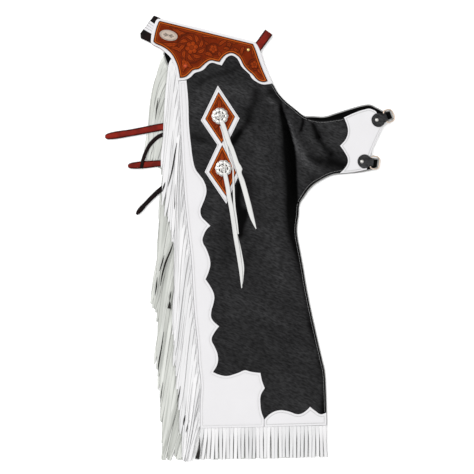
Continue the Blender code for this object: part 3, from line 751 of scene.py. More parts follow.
METALS = (  # material, its polished and tarnished colours, roughness and slot
    ("silver", (0.45, 0.44, 0.42), (0.02, 0.018, 0.016), 0.34, "silver"),
    ("nickel", (0.28, 0.23, 0.195), (0.03, 0.026, 0.024), 0.36, "silver"),
    ("brass", (0.55, 0.38, 0.14), (0.12, 0.06, 0.02), 0.28, "brass"),
    ("bronze", (0.62, 0.5, 0.41), (0.08, 0.03, 0.02), 0.3, "bronze"),
    ("copper", (0.3, 0.05, 0.02), (0.1, 0.02, 0.01), 0.45, "bronze"),
)


def thread(name, colour):
    """Twisted thread, a little darker between its plies."""
    made = Finish(name, 0.7)
    made.colour(made.mix(made.noise(200, 2), colour, [DULLED * share for share in colour]))
    made.bump(made.noise(1500, 1, stretch=(1.0, 3.0, 1.0), turn=40), 0.2, 0.8)
    return made.material


# The top leg: its level, and its stitched seam, whose stitches show from this x on
PANEL_LEVEL = 7.1
PANEL_SEAM = 3.8
PANEL_STITCH_FROM = 48

STITCH_PITCH = 3.6
STITCH_LENGTH = 2.9
STITCH_WIDTH = 0.8
STITCH_PROUD = 0.2  # share of its width that a stitch's middle stands above the groove
LINE_BREAK = 9.0  # a longer step between two points of a line is a break in it

CREASES = (  # x0, y0, x1, y1, width and height of the soft waves of the top leg
    (40, 345, 86, 262, 9, 1.6), (52, 338, 44, 250, 11, -1.5), (-20, 350, 30, 300, 12, 1.2),
    (-8, 330, 28, 262, 10, -1.1), (-120, 240, -10, 330, 14, 0.9), (0, 230, 62, 196, 10, 1.1),
    (10, 170, 60, 120, 12, -1.0), (20, 70, 70, 10, 13, 1.0), (40, 20, 96, -60, 12, -1.0),
    (-70, 20, 10, -60, 16, 1.0), (-60, -90, 20, -160, 16, -0.9), (30, -110, 110, -190, 15, 1.1),
    (60, -210, 130, -290, 14, -1.0), (-40, -210, 30, -290, 15, 1.0), (150, 250, 196, 232, 7, 1.0),
    (162, 226, 204, 200, 6, -0.9), (150, 170, 190, 160, 7, -1.4), (120, 100, 98, 10, 10, 1.4),
)
OVERLAY_REACH = (2, 14)  # where an overlay stops holding the waves flat, and over how far
STRING_REACH = (6, 12)

# Tone of the black leather, from 0 for deep black to 1 for grey: an even grey, with painted highlights and
# painted shade laid on the top leg
EVEN_WEAR = 0.18
CHAFE_WEAR = 0.34
# Where the lighter line of the cut edge, raw leather with painted sheen, lies from the side
BARE_EDGE = 1.4
DARK_RIM = (4.0, 0.8)  # width and depth of the darker rim of the leg's inner side
DARK_RIM_FROM = 60
PAINTED_LIGHT_STROKES = (  # x0, y0, x1, y1, width and change of each stroke: up for painted highlights and sheen, down for painted shade
    (14, 342, 0, 284, 12, -0.13), (-7, 268, -37, 224, 9, -0.16), (-34, 222, -22, 238, 7, -0.12),
    (45, 335, 62, 320, 9, -0.14), (40, 318, 52, 308, 3.5, 0.2), (-115, 358, -20, 396, 7, -0.09),
    (-130, 300, -108, 330, 26, 0.07), (-60, 352, -10, 320, 16, 0.09), (5, 352, 30, 342, 9, 0.08),
    (-22, 262, 30, 200, 14, 0.05), (-128, 236, -108, 224, 9, -0.11), (-126, 214, -92, 206, 7, 0.06),
    (-12, 140, 4, 96, 9, -0.08), (-28, 120, -22, 8, 12, -0.19), (-10, 60, -24, 10, 7, -0.14),
    (-70, 92, -92, 28, 14, 0.04), (-104, -2, -100, -44, 8, 0.09), (-62, 40, -52, -60, 12, -0.05),
    (0, -30, -14, -78, 10, -0.08), (48, 10, 70, -104, 20, 0.05), (10, 210, 48, 60, 16, 0.03),
    (-66, -130, 40, -190, 22, 0.04), (-80, -140, -92, -160, 8, -0.08),
    (80, -320, 122, -380, 22, 0.03), (76, 291, 84, 268, 4.5, 0.2), (84, 268, 104, 222, 5.5, 0.34),
    (104, 222, 120, 182, 7.5, 0.24), (120, 182, 156, 158, 10, 0.13), (112, 200, 128, 170, 12, 0.1),
    (122, 274, 115, 244, 4, -0.18), (104, 262, 118, 244, 8, -0.06), (142, 262, 158, 234, 5, -0.24),
    (158, 234, 184, 192, 7, -0.13), (118, 248, 140, 222, 8, 0.06), (158, 268, 214, 240, 12, 0.08),
    (180, 225, 205, 218, 9, 0.05), (130, 186, 160, 178, 9, -0.14), (184, 173, 222, 166, 17, -0.17),
    (120, 158, 128, 140, 7, 0.05),
)
PAINTED_FOLD_SHADE = (  # sections of the painted shade in the folds, deep black: x, y, reach on the left and right, depth
    (
        (69, 322, 8, 5, 0.4), (71.5, 305, 10, 5, 1.1), (74, 292, 14, 5, 1.5), (83, 262, 20, 7, 1.7),
        (97, 205, 38, 8, 1.9), (102, 117, 34, 9, 1.9), (102, 57, 32, 14, 1.9),
        (104, 10, 28, 20, 1.6), (110, -30, 22, 20, 1.1), (120, -80, 18, 20, 0.75),
        (134, -150, 14, 20, 0.6),
    ),
    (
        (134, -165, 12, 20, 0.4), (144, -205, 18, 20, 1.0), (156, -250, 12, 20, 0.5),
        (164, -285, 16, 20, 0.9), (170, -330, 10, 20, 0.4), (172, -375, 16, 20, 1.0),
        (172, -405, 20, 20, 1.2),
    ),
)


def wavering(points, size, length):
    """The points, shifted to and fro so that a straight stroke across them looks uneven."""
    return points + size * np.sin(points[:, ::-1] / length)


def ridge_places(points, x0, y0, x1, y1):
    """Distance from a line's stretch, the share along it, and which side each point is on."""
    run = np.array((x1 - x0, y1 - y0), float)
    offset = points - (x0, y0)
    share = offset @ run / (run @ run)
    gap = offset - np.clip(share, 0, 1)[:, None] * run
    side = run[0] * offset[:, 1] - run[1] * offset[:, 0]
    return np.hypot(*gap.T), share, side


def fold_lift(points, foot, sections):
    """How far one fold lifts each point: by its height at the nearest place on its ridge."""
    nearest = np.full(len(points), np.inf)
    lift = np.zeros(len(points))
    ridge = smooth_line(sections, RIDGE_STEP)
    for first, second in zip(ridge, ridge[1:]):
        distance, share, side = ridge_places(points, *first[:2], *second[:2])
        share = np.clip(share, 0, 1)[:, None]
        left, right, top = (first[2:] * (1 - share) + second[2:] * share).T
        away = np.clip(distance / np.where(side < 0, left, right), 0, 1)
        fall = np.clip(np.cos(math.pi / 2 * away), 0, 1) ** np.where(side < 0, 2, foot)
        lift = np.where(distance < nearest, top * fall, lift)
        nearest = np.minimum(distance, nearest)
    return lift


def folded(points):
    """How far the folds and soft waves of the top leg lift it."""
    height = sum(fold_lift(points, *fold) for fold in FOLDS)
    waved = wavering(points, 4.0, 23.0)
    soft = np.zeros(len(points))
    for x0, y0, x1, y1, width, top in CREASES:
        distance, _, _ = ridge_places(waved, x0, y0, x1, y1)
        soft += top * bell(distance, width)
    return height + np.clip(soft, 0, None) * free_leather(points)


def tone_and_painted_light(points, distance):
    """A relief for slab: a flat face, and the grey of each place of the leg: an even tone with painted
    highlights and painted shade.
    """
    grey = np.full(len(points), EVEN_WEAR)
    waved = wavering(points, 2.5, 11.0)
    # Painted highlights and painted shade, stroke by stroke
    for x0, y0, x1, y1, width, change in PAINTED_LIGHT_STROKES:
        gap, _, _ = ridge_places(waved, x0, y0, x1, y1)
        grey += change * bell(gap, width)
    # Painted shade: the folds' hollows go deep black
    for sections in PAINTED_FOLD_SHADE:
        grey *= 1 - np.clip(fold_lift(points, 1, sections), 0, 1)
    width, depth = DARK_RIM
    grey *= 1 - depth * bell(distance, width) * (points[:, 0] > DARK_RIM_FROM)
    return 0.0, {"tone_and_painted_light": np.clip(grey, 0, 1)}


def raw_edge_with_painted_sheen(points, distance):
    """A relief for slab: a flat face whose rim shows a lighter line, the raw cut edge with a painted
    highlight of its sheen.
    """
    return 0.0, {"bare": np.clip(1 - np.abs(distance - BARE_EDGE) / BARE_EDGE, 0, 1)}


def even_wear(points, distance):
    """A relief for slab: a flat face, worn to the same grey all over."""
    return 0.0, {"tone_and_painted_light": np.full(len(points), CHAFE_WEAR)}


def free_leather(points):
    """1 where nothing lies on the top leg, falling to 0 at its overlays and strings."""
    free = np.ones(len(points))
    held, reach = OVERLAY_REACH
    for node in ("side_band", "hem_band", "yoke_border", "diamond_border", "wing_tab"):
        loop = node_outline(node)
        outside = np.where(inside(points, loop), 0, edge_distance(points, loop))
        free = np.minimum(free, smoothstep((outside - held) / reach))
    held, reach = STRING_REACH
    for _, rows, _ in STRINGS:
        for (x0, y0, *_), (x1, y1, *_) in zip(rows, rows[1:]):
            distance, _, _ = ridge_places(points, x0, y0, x1, y1)
            free = np.minimum(free, smoothstep((distance - held) / reach))
    return free


def stitch_shape():
    """One stitch: a slim rounded bead along X."""
    shape = bmesh.new()
    bmesh.ops.create_uvsphere(shape, u_segments=6, v_segments=5, radius=1)
    verts = np.array([vert.co for vert in shape.verts])[:, (2, 0, 1)]
    faces = [tuple(vert.index for vert in face.verts) for face in shape.faces]
    shape.free()
    return verts * (STITCH_LENGTH / 2, STITCH_WIDTH / 2, STITCH_WIDTH / 2), faces


STITCH = stitch_shape()


def stitches(line, surface):
    """Stitches along a line of x, y, apart from its breaks.

    surface(points) gives the height that they lie on.
    """
    spans = np.linalg.norm(np.diff(line, axis=0), axis=1)
    reached = distances_along(line)
    places = np.arange(STITCH_PITCH / 2, reached[-1], STITCH_PITCH)
    centres, ahead = points_at(line, places), points_at(line, places + 1)
    whole = spans[np.clip(np.searchsorted(reached, places) - 1, 0, len(spans) - 1)] < LINE_BREAK
    heights = surface(centres) + STITCH_WIDTH * STITCH_PROUD
    verts, faces = STITCH
    parts = []
    for centre, tip, height, kept in zip(centres, ahead, heights, whole):
        if not kept:
            continue
        along = (tip - centre) / np.linalg.norm(tip - centre)
        turned = np.column_stack((
            verts[:, 0] * along[0] - verts[:, 1] * along[1],
            verts[:, 0] * along[1] + verts[:, 1] * along[0],
            verts[:, 2],
        ))
        parts.append((turned + (*centre, height), faces))
    return parts


# Tooling: motifs of the yoke and the diamonds
YOKE_RIM = 5.6
YOKE_OUTLINE = 2.3
DIAMOND_RIM = 5.2
DIAMOND_OUTLINE = 1.6
GROUND_DEPTH = 0.9
CUT_WIDTH = 1.25
BEAD_INSET = 1.9
BEAD_WIDTH = 0.7
YOKE_FLOWERS = (  # x, y, radius, petals and turn
    (-134, 437, 15.5, 6, 0.2), (-84, 434, 10.5, 5, 0.9), (10, 398, 10.0, 5, 0.3),
    (-48, 444, 6.0, 5, 0.0),
)
ROSETTE = (-134, 437)
ROSETTE_LEAVES = 9
ROSETTE_REACH = (16.5, 31)  # where its leaves start and end
ROSETTE_SWEEP = 0.75
ROSETTE_LEAF = (5.2, -3.5)
YOKE_LEAVES = (  # base and tip, half width and bend
    (-153, 412, -155, 380, 6.5, 3), (-146, 408, -128, 389, 5.0, -4), (-165, 446, -208, 449, 5.5, 4),
    (-158, 428, -186, 436, 5.0, -4), (-160, 462, -172, 484, 4.0, -2),
    (-146, 468, -186, 487, 4.2, 3), (-112, 464, -76, 457, 5.5, 4), (-104, 424, -84, 414, 5.0, 3),
    (-110, 409, -92, 408, 4.0, -2), (-96, 444, -104, 452, 3.5, 1), (-72, 441, -48, 455, 4.5, 3),
    (-72, 429, -60, 414, 4.6, -3), (-62, 436, -44, 430, 4.0, 2), (-42, 447, -14, 448, 4.6, 3),
    (-38, 437, -22, 428, 4.0, -2), (-14, 440, -18, 418, 4.6, -3), (4, 440, 4, 416, 4.2, 3),
    (14, 436, 20, 410, 4.4, 3), (0, 394, -12, 400, 4.0, 2), (4, 388, 14, 372, 4.8, -3),
    (16, 388, 34, 365, 5.4, 3), (21, 400, 27, 382, 4.0, -2),
)
YOKE_ARCS = (  # centre, radius, and the angles it runs between
    (-134, 437, 33.5, 1.2, 3.3), (-134, 437, 36.0, 1.6, 3.0), (-134, 437, 33.5, 3.7, 5.6),
    (-134, 437, 36.0, 4.1, 5.2), (-134, 437, 33.5, 5.9, 0.9), (-84, 434, 13.5, 0.3, 5.6),
    (-84, 434, 16.5, 2.4, 4.8), (10, 398, 13.5, 0.8, 5.8), (-48, 444, 9.0, 3.3, 6.0),
    (-168, 470, 34.0, 4.4, 5.6), (-30, 470, 44.0, 3.9, 5.4), (-30, 470, 48.0, 4.1, 5.2),
)
DIAMOND_LEAF = (5.2, 1.5)
SMALL_LEAF = (3.6, 2.0)


def flower(points, x, y, radius, petals, turn):
    """Height and cut lines of a round flower with lobed petals."""
    offset = points - (x, y)
    reach = np.hypot(*offset.T) / radius
    angle = np.arctan2(offset[:, 1], offset[:, 0]) - turn
    lobe = np.abs(np.cos(petals * angle / 2))
    edge = 0.66 + 0.34 * lobe**0.6
    body = smoothstep((edge - reach) * radius / 0.9)
    split = bell(lobe, 0.24) * (reach > 0.3)
    ring = bell((reach - 0.3) * radius, 0.8)
    fold = bell((reach - edge * 0.74) * radius, 0.7) * 0.7
    veins = 0.35 * np.abs(np.cos(petals * angle * 2.5)) ** 6 * (reach > 0.42) * (reach < 0.75)
    rim = bell((reach - edge) * radius, 1.2)
    dots = 0.5 + 0.5 * np.cos(points[:, 0] * 3.4) * np.cos(points[:, 1] * 3.4)
    line = np.maximum.reduce((split * body, ring, fold * body, veins, rim, dots * (reach < 0.27)))
    height = body * (0.75 + 0.45 * smoothstep(reach / edge)) + 0.35 * (reach < 0.3)
    return height - 0.45 * line * body, line, body


def leaf(points, x0, y0, x1, y1, half_width, bend):
    """Height and cut lines of a bent leaf with lobes and a vein."""
    run = np.array((x1 - x0, y1 - y0), float)
    length = np.hypot(*run)
    offset = points - (x0, y0)
    share = offset @ run / length**2
    aside = (run[0] * offset[:, 1] - run[1] * offset[:, 0]) / length
    aside = aside - bend * 4 * share * (1 - share)
    within = np.clip(share, 0, 1)
    half = half_width * np.sin(math.pi * within**0.7) ** 0.8
    half = half * (1 - 0.22 * np.abs(np.sin(4.5 * math.pi * within)))
    inner = (half - np.abs(aside)) * ((share > 0) & (share < 1))
    body = smoothstep(inner / 0.8)
    vein = bell(aside, 0.75) * (share > 0.02) * (share < 0.86)
    ribs = 0.5 * np.abs(np.sin(math.pi * (share * 6 - np.abs(aside) / half_width * 0.8))) ** 8
    rim = bell(inner, 1.1) * (share > -0.02) * (share < 1.02) * (half > 0.3)
    line = np.maximum.reduce((vein * body, ribs * body * (np.abs(aside) > 0.8), rim))
    crown = np.sqrt(np.clip(1 - (aside / (half + 0.5)) ** 2, 0, 1))
    return body * (0.45 + 0.6 * crown) - 0.4 * line * body, line, body


def tooling(rim_width, outline_width, motifs):
    """A relief for slab: a smooth rim, a carved line inside it, and the motifs beyond."""

    def relief(points, distance):
        ground = smoothstep((distance - rim_width) / 0.8)
        cut = bell(distance - rim_width, CUT_WIDTH)
        bead = bell(distance - rim_width - BEAD_INSET, BEAD_WIDTH)
        outline = 0.93 - 0.93 * smoothstep((distance - outline_width) / 0.9)
        height = np.zeros(len(points))
        line = np.zeros(len(points))
        body = np.zeros(len(points))
        for draw, numbers in motifs:
            proud, cuts, covers = draw(points, *numbers)
            over = covers > body
            height = np.where(over, proud, height)
            line = np.where(over, cuts, np.maximum(line, cuts * (1 - body)))
            body = np.maximum(body, covers)
        height = -GROUND_DEPTH * ground + ground * (1.15 * height) - 0.5 * cut + 0.45 * bead
        values = {
            "rim": 1 - ground,
            "carved": np.clip(body + bead, 0, 1) * ground,
            "matted": ground * (1 - np.clip(body + bead, 0, 1)),
            "stain": np.maximum.reduce((0.95 * cut, 0.85 * line * ground, outline)),
        }
        return height, values

    return relief


def arc(points, x, y, radius, start, end):
    """A carved line round part of a circle. It has no body of its own."""
    offset = points - (x, y)
    turned = (np.arctan2(offset[:, 1], offset[:, 0]) - start) % math.tau
    span = (end - start) % math.tau
    within = smoothstep(turned / 0.25) * smoothstep((span - turned) / 0.25) * (turned < span)
    bare = np.zeros(len(points))
    return bare, within * bell(np.hypot(*offset.T) - radius, 1.0), bare


def yoke_motifs():
    """The yoke's scrolls, leaves and flowers, each over those before it."""
    motifs = [(arc, row) for row in YOKE_ARCS]
    for index in range(ROSETTE_LEAVES):
        angle = math.tau * index / ROSETTE_LEAVES
        base, tip = (
            np.array((math.cos(way), math.sin(way))) * reach + ROSETTE
            for way, reach in zip((angle, angle + ROSETTE_SWEEP), ROSETTE_REACH)
        )
        motifs.append((leaf, (*base, *tip, *ROSETTE_LEAF)))
    motifs += [(leaf, row) for row in YOKE_LEAVES]
    motifs += [(flower, row) for row in YOKE_FLOWERS]
    return motifs


def diamond_motifs(node):
    """A leaf towards each corner of a diamond, with two small ones beside it."""
    low, high = (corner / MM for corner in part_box(node))
    centre = (low + high).to_2d() / 2
    half_width, bend = SMALL_LEAF
    motifs = []
    for reach in (high.y - centre.y, low.y - centre.y):
        base = centre.y + reach * 0.28
        tip = (centre.x, centre.y + reach * 0.8)
        motifs.append((leaf, (centre.x, base, *tip, *DIAMOND_LEAF)))
        for side in (-1, 1):
            tip = (centre.x + side * 12.5, centre.y + reach * 0.5)
            motifs.append((leaf, (centre.x + side * 3, base, *tip, half_width, side * bend)))
    for reach in (high.x - centre.x, low.x - centre.x):
        tip = (centre.x + reach * 0.72, centre.y)
        motifs.append((leaf, (centre.x + reach * 0.42, centre.y, *tip, *DIAMOND_LEAF)))
    return motifs


# Hardware
CONCHO_LOBES = 10
CONCHO_PETALS = 8
BADGE_RADIUS = 21.0
BADGE_SQUASH = 0.565
BADGE_TURN = math.radians(-13)
DISC_FOOT = 0.97
CONCHO_RADIUS = 19.0
CHAFE_LEVEL = 11.7
RING_WIRE = 1.6
RING_LENGTH = 24.0
RING_WIDTH = 32.0
RING_NEAR_CORNER = 5.0
RING_FAR_CORNER = 9.5
RING_TILT = math.radians(11)
RING_GAP = 0.3
RING_SIDES = 14
CORNER_POINTS = 13
RAMP = 7.0  # how far before the ring the chafe's neck starts to rise
CHAFES = (  # name, centre, direction of the ring and its distance from the centre
    ("upper", (295, 271), 22, 27),
    ("lower", (263, 176), -7, 25),
)


def disc(node, look, shares, spokes, profile, size, squash=1.0, turn=0.0, outline=None):
    """A round or oval piece at a node's place, with rings of points at shares of its radius.

    profile(radius, angle) gives the height above its base and how much dark oxide lies
    there. outline(angles) gives the shares of its size that its rim reaches.
    """
    low, high = (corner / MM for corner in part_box(node))
    centre = (low + high) / 2
    angles = math.tau * np.arange(spokes) / spokes
    reach = size * (np.ones(spokes) if outline is None else outline(angles))
    verts, recess = [], []
    for share in shares:
        radius = share * reach
        height, dark = profile(radius, angles)
        x, y = radius * np.cos(angles), radius * np.sin(angles) * squash
        verts.append(np.column_stack((x, y, height)))
        recess.append(dark)
    for share in (1.0, DISC_FOOT):
        base = np.zeros(spokes)
        verts.append(np.column_stack((verts[-1][:, :2] * share, base)))
        recess.append(base)
    points = np.vstack(verts)
    turned = points.copy()
    turned[:, 0] = points[:, 0] * math.cos(turn) - points[:, 1] * math.sin(turn)
    turned[:, 1] = points[:, 0] * math.sin(turn) + points[:, 1] * math.cos(turn)
    turned += (centre.x, centre.y, low.z)
    values = {"recess": np.concatenate(recess)}
    add_piece(node + "_metal", turned, tube_faces(len(verts), spokes), look, (node,), values, 50)


def concho_profile(radius, angle):
    """A rim of plain round lobes, a broken engraved ring and a small flower in the middle."""
    lobes = np.abs(np.cos(CONCHO_LOBES * angle / 2))
    petals = np.abs(np.cos(CONCHO_PETALS * angle / 2))
    height = 1.2 + 2.6 * np.clip(1 - (radius / 21) ** 2, 0, 1)
    lobe = np.clip(1 - ((radius - 14.6) / 3.4) ** 2, 0, 1) * lobes**0.6
    height = height + 0.8 * lobe
    split = bell(lobes, 0.13) * (radius > 12.2) * (radius < 18.0)
    ring = smoothstep(1.9 - np.abs(radius - 9.6 - 0.5 * np.cos(5 * angle)))
    marks = ring * smoothstep(1.0 + np.cos(7 * angle + 0.6) + 0.4 * np.cos(3 * angle))
    edge = 3.6 + 3.0 * petals**0.7
    body = smoothstep((edge - radius) / 0.7)
    cut = smoothstep(1.5 - np.abs(radius - edge) / 0.8) * (np.cos(3 * angle + 1) > -0.3)
    button = bell(radius - 1.6, 0.8)
    dark = np.maximum.reduce((0.75 * split, 0.97 * marks, 0.95 * cut, 0.8 * button))
    return height + 0.5 * body - 0.25 * dark, dark


def concho_outline(angles):
    """The shares of its size that the concho's lobed rim reaches."""
    return 1 - 0.06 * (1 - np.abs(np.cos(CONCHO_LOBES * angles / 2)))


def badge_profile(radius, angle):
    """An oval plate: a roped rim, a plain field and an engraved sprig of leaves."""
    share = radius / BADGE_RADIUS
    rope = 0.5 + 0.5 * np.cos(44 * angle + 9 * share)
    rim = smoothstep((share - 0.84) / 0.03)
    height = 1.35 + 0.45 * rim * (0.6 + 0.4 * rope)
    groove = bell(share - 0.82, 0.02)
    dark = np.maximum(groove * 0.35, rim * 0.25 * (1 - rope))
    x, y = share * np.cos(angle), share * np.sin(angle)
    for side in (-1, 1):
        for stem, reach, rise in ((0.12, 0.5, 0.0), (0.1, 0.34, 0.36), (0.1, 0.34, -0.36)):
            along = np.clip((side * x - stem) / reach, 0, 1)
            middle = rise * along * 0.9
            half = 0.13 * np.sin(math.pi * along**0.7)
            gap = np.abs(y - middle)
            cut = bell(gap - half, 0.03) * (along > 0) * (along < 1)
            vein = bell(gap, 0.022) * (along > 0.05) * (along < 0.85)
            dark = np.maximum(dark, 0.85 * np.maximum(cut, vein))
    button = bell(share - 0.11, 0.025)
    dark = np.maximum(dark, button)
    return height - 0.25 * dark, dark


def rivet(node, look, size):
    """A domed head with a collar."""

    def profile(radius, angle):
        share = radius / size
        collar = bell(share - 0.72, 0.07)
        height = 0.7 + 1.3 * np.clip(1 - (share / 1.1) ** 2, 0, 1) ** 0.6 - 0.25 * collar
        return height, 0.8 * collar

    disc(node, look, np.linspace(0.05, 1.0, 16), 48, profile, size)


def ring_path():
    """Points along the ring's wire: its near bar on the Y axis, its bow towards +X."""
    half_width = RING_WIDTH / 2 - RING_WIRE
    length = RING_LENGTH - 2 * RING_WIRE
    near, far = RING_NEAR_CORNER, RING_FAR_CORNER
    corners = (  # centre, radius and the angle at which the wire enters it
        (near, near - half_width, near, 1.0),
        (length - far, far - half_width, far, 1.5),
        (length - far, half_width - far, far, 0.0),
        (near, half_width - near, near, 0.5),
    )
    points = []
    for x, y, radius, start in corners:
        for angle in math.pi * np.linspace(start, start + 0.5, CORNER_POINTS):
            points.append((x + radius * math.cos(angle), y + radius * math.sin(angle)))
    return np.array(points)


def ring_piece(node, look, centre, heading, ring_distance):
    """The ring, held by its near bar under the chafe's neck and tipping down beyond it."""
    heading = math.radians(heading)
    ahead = np.array((math.cos(heading), math.sin(heading), 0))
    aside = np.array((-ahead[1], ahead[0], 0))
    down = math.cos(RING_TILT) * ahead - np.array((0, 0, math.sin(RING_TILT)))
    normal = np.cross(down, aside)
    start = np.array((*centre, CHAFE_LEVEL + RING_WIRE))
    start = start + ahead * (ring_distance - RING_LENGTH / 2 + RING_WIRE)
    path = ring_path()
    points = []
    for (x, y), (out_x, out_y) in zip(path, -side_normals(path)):
        middle = start + down * x + aside * y
        out = down * out_x + aside * out_y
        for angle in math.tau * np.arange(RING_SIDES) / RING_SIDES:
            wire = math.cos(angle) * out + math.sin(angle) * normal
            points.append(middle + RING_WIRE * wire)
    points = np.array(points)
    faces = outward(points - start, tube_faces(len(path), RING_SIDES, closed=True))
    values = {"recess": np.zeros(len(points))}
    add_piece(node + "_metal", points, faces, look, (node,), values)


def chafe_lift(centre, heading, ring_distance):
    """How the chafe's neck rises over the near side of its ring."""
    ahead = np.array((math.cos(math.radians(heading)), math.sin(math.radians(heading))))
    top = 2 * RING_WIRE + RING_GAP
    near = ring_distance - RING_LENGTH / 2 - RING_GAP

    def lift(points):
        along = (points - centre) @ ahead
        return top * smoothstep((along - near + RAMP) / RAMP)

    return lift


# Fringe strands
STRAND_THICKNESS = 1.3
STRAND_WIDTH = 8.6
STRAND_STEP = 9.0
STRAND_SWAY = 3.5
LEAST_STEPS = 8
ROOT_RISE = 22  # how far from the seam a strand reaches its layer
TIP_LENGTH = 30
NARROW_TIPS = ((-420, -330), (0.15, 0.6))  # heights of the root, and how far a tip narrows
DARKER_DOWN = ((60, 300), (1.0, 0.55))  # heights of the root, and the darkest tone there: lower strands may go darker, as painted shade
CLUMP = 5  # neighbouring strands that drift alike
CURLED = 0.16  # share of the strands that roll over
STRAP_TONE = 0.1
SHEET_LEAST_WIDTH = 10.0


def strand_values(fallen, tone):
    """What the material reads: the dark cut edges, raw leather with painted shade, show once a strand has
    left its seam.
    """
    parted = 0.78 + 0.22 * smoothstep(fallen / 36)
    side = np.outer(parted, 2 * np.abs(STRIP_SECTION[:, 0])).ravel()
    return {"side": side, "tone": np.full(len(side), tone)}


def add_strands(node, look, parts, values):
    """One piece of all the strands, each with its own values."""
    verts, faces = joined(parts)
    labels = {label: np.concatenate([some[label] for some in values]) for label in values[0]}
    return add_piece(node + "_strands", verts, faces, look, (node,), labels)


def side_fringe(node, look, seam, table, base, rise, layers, seed, spread, most_roll):
    """Strands that hang from a seam, lying over each other, as the table says.

    They lie in layers, each rise higher than the one before it, from the height base. spread
    is how far their drift varies, and most_roll how far a curled one rolls over.
    """
    chance = random.Random(seed)
    line = smooth_line(seam, 2.0)
    seam_length = distances_along(line)[-1]
    heights, near_drifts, far_drifts, lengths = np.array(table, float)[::-1].T
    parts, values = [], []
    clump = cut_area = 0.0
    for index, place in enumerate(np.arange(STRAND_WIDTH / 2, seam_length - 1, STRAND_WIDTH)):
        root, beyond = points_at(line, (place, place + 2))
        if index % CLUMP == 0:
            clump = chance.uniform(-spread, spread)
        near_drift = np.interp(root[1], heights, near_drifts)
        far_drift = np.interp(root[1], heights, far_drifts)
        far_drift += 0.6 * clump + chance.uniform(-spread, spread) * 0.6
        length = np.interp(root[1], heights, lengths) * chance.uniform(0.95, 1.04)
        cut_area += length * STRAND_WIDTH
        count = max(LEAST_STEPS, round(length / STRAND_STEP))
        share = np.linspace(0, 1, count + 1) ** 1.25
        fallen = share * length
        away = near_drift * (1 - np.exp(-5 * share)) + far_drift * share**1.3
        sway = chance.uniform(-STRAND_SWAY, STRAND_SWAY) * share
        wave = sway * np.sin(math.tau * (share * chance.uniform(0.5, 1.1)))
        x = root[0] - 0.4 - 4.2 * (1 - np.exp(-fallen / 4)) - away + wave
        y = root[1] - fallen
        level = index % layers * rise + chance.uniform(0, 0.35)
        z = base + level * smoothstep(fallen / ROOT_RISE)
        tip = smoothstep((fallen - length + TIP_LENGTH) / TIP_LENGTH)
        narrowed = STRAND_WIDTH * (1 - np.interp(root[1], *NARROW_TIPS) * tip)
        width = narrowed + chance.uniform(-0.7, 0.5)
        rows = np.column_stack((x, y, z, width))
        turn = chance.uniform(-0.3, 0.3) * most_roll
        if chance.random() < CURLED:
            turn = chance.choice((-1, 1)) * chance.uniform(0.55, 1.0) * most_roll
        rolls = turn * np.sin(math.pi * share * chance.uniform(0.7, 1.3))
        tangent = np.gradient(rows[:, :3], axis=0)
        flat = np.column_stack((-tangent[:, 1], tangent[:, 0], np.zeros(count + 1)))
        flat /= np.linalg.norm(flat, axis=1)[:, None]
        seam_way = np.array((*(beyond - root), 0)) / np.linalg.norm(beyond - root)
        hung = smoothstep(fallen / 14)[:, None]
        across = seam_way * (1 - hung) + flat * hung
        rows[:, 2] += np.abs(np.sin(rolls)) * STRAND_WIDTH / 2
        parts.append(strip(rows, STRAND_THICKNESS, rolls=rolls, across=across))
        # Each strand's own tone, its range darker lower down as painted shade
        values.append(strand_values(fallen, chance.random() * np.interp(root[1], *DARKER_DOWN)))
    piece = add_strands(node, look, parts, values)


def hem_fringe(node, look, base, sag, seed):
    """Short strands that hang from the hem, from the height base down to sag below it."""
    chance = random.Random(seed)
    (x0, y0), (x1, y1) = HEM_SEAM
    pitch = (x1 - x0) / HEM_STRANDS
    share = np.linspace(0, 1, HEM_STEPS + 1)
    parts, values = [], []
    for index in range(HEM_STRANDS):
        place = (index + 0.5) / HEM_STRANDS
        root = (x0 + (x1 - x0) * place, y0 + (y1 - y0) * place)
        lean = -13 * math.exp(-index / 1.8) + 3 * math.exp((index - HEM_STRANDS + 1) / 1.5)
        lean += chance.uniform(-1.1, 1.1)
        length = HEM_STRAND_LENGTH + chance.uniform(-2, 1.5)
        x = root[0] + lean * share**1.3 + chance.uniform(-1, 1) * np.sin(math.pi * share)
        y = root[1] - length * share
        z = base - sag * smoothstep(share * 1.4) + (index % 2) * 0.9 * smoothstep(share * 3)
        width = pitch - 0.2 - chance.uniform(0.1, 1.6) * smoothstep(share * 1.2)
        rolls = chance.uniform(-0.16, 0.16) * smoothstep(share * 2)
        rows = np.column_stack((x, y, z + np.abs(np.sin(rolls)) * pitch / 2, width))
        parts.append(strip(rows, STRAND_THICKNESS, rolls=rolls))
        values.append(strand_values(length * share, chance.random()))
    piece = add_strands(node, look, parts, values)


def gap_shadow_slivers(name, look):
    """Painted shadow: thin dark slivers where the strands part."""
    parts = []
    for gap in GAP_SHADOWS:
        line = smooth_line(gap, GAP_STEP)
        rows = np.column_stack((line[:, :2], np.full(len(line), GAP_LEVEL), line[:, 2]))
        parts.append(strip(rows, GAP_THICKNESS))
    verts, faces = joined(parts)
    values = {"side": np.zeros(len(verts)), "tone": np.ones(len(verts))}
    add_piece(name, verts, faces, look, values=values)


def strap_piece(node, rows, thickness, look, step=6.0, section=STRAP_SECTION, sheet=True):
    """A strap, lace or string that replaces its node, with its line and its length."""
    line = smooth_line(rows, step)
    verts, faces = strip(line, thickness, section)
    side = np.tile(2 * np.abs(section[:, 0]), len(line))
    values = {"side": side, "tone": np.full(len(verts), STRAP_TONE)}
    piece = add_piece(node + "_leather", verts, faces, look, (node,), values)
    length = np.linalg.norm(np.diff(line[:, :3], axis=0), axis=1).sum()
    if sheet:
        width = rows[0][3]
        flat_size = (max(width, SHEET_LEAST_WIDTH) * MM, length * MM)
    return piece, line, length


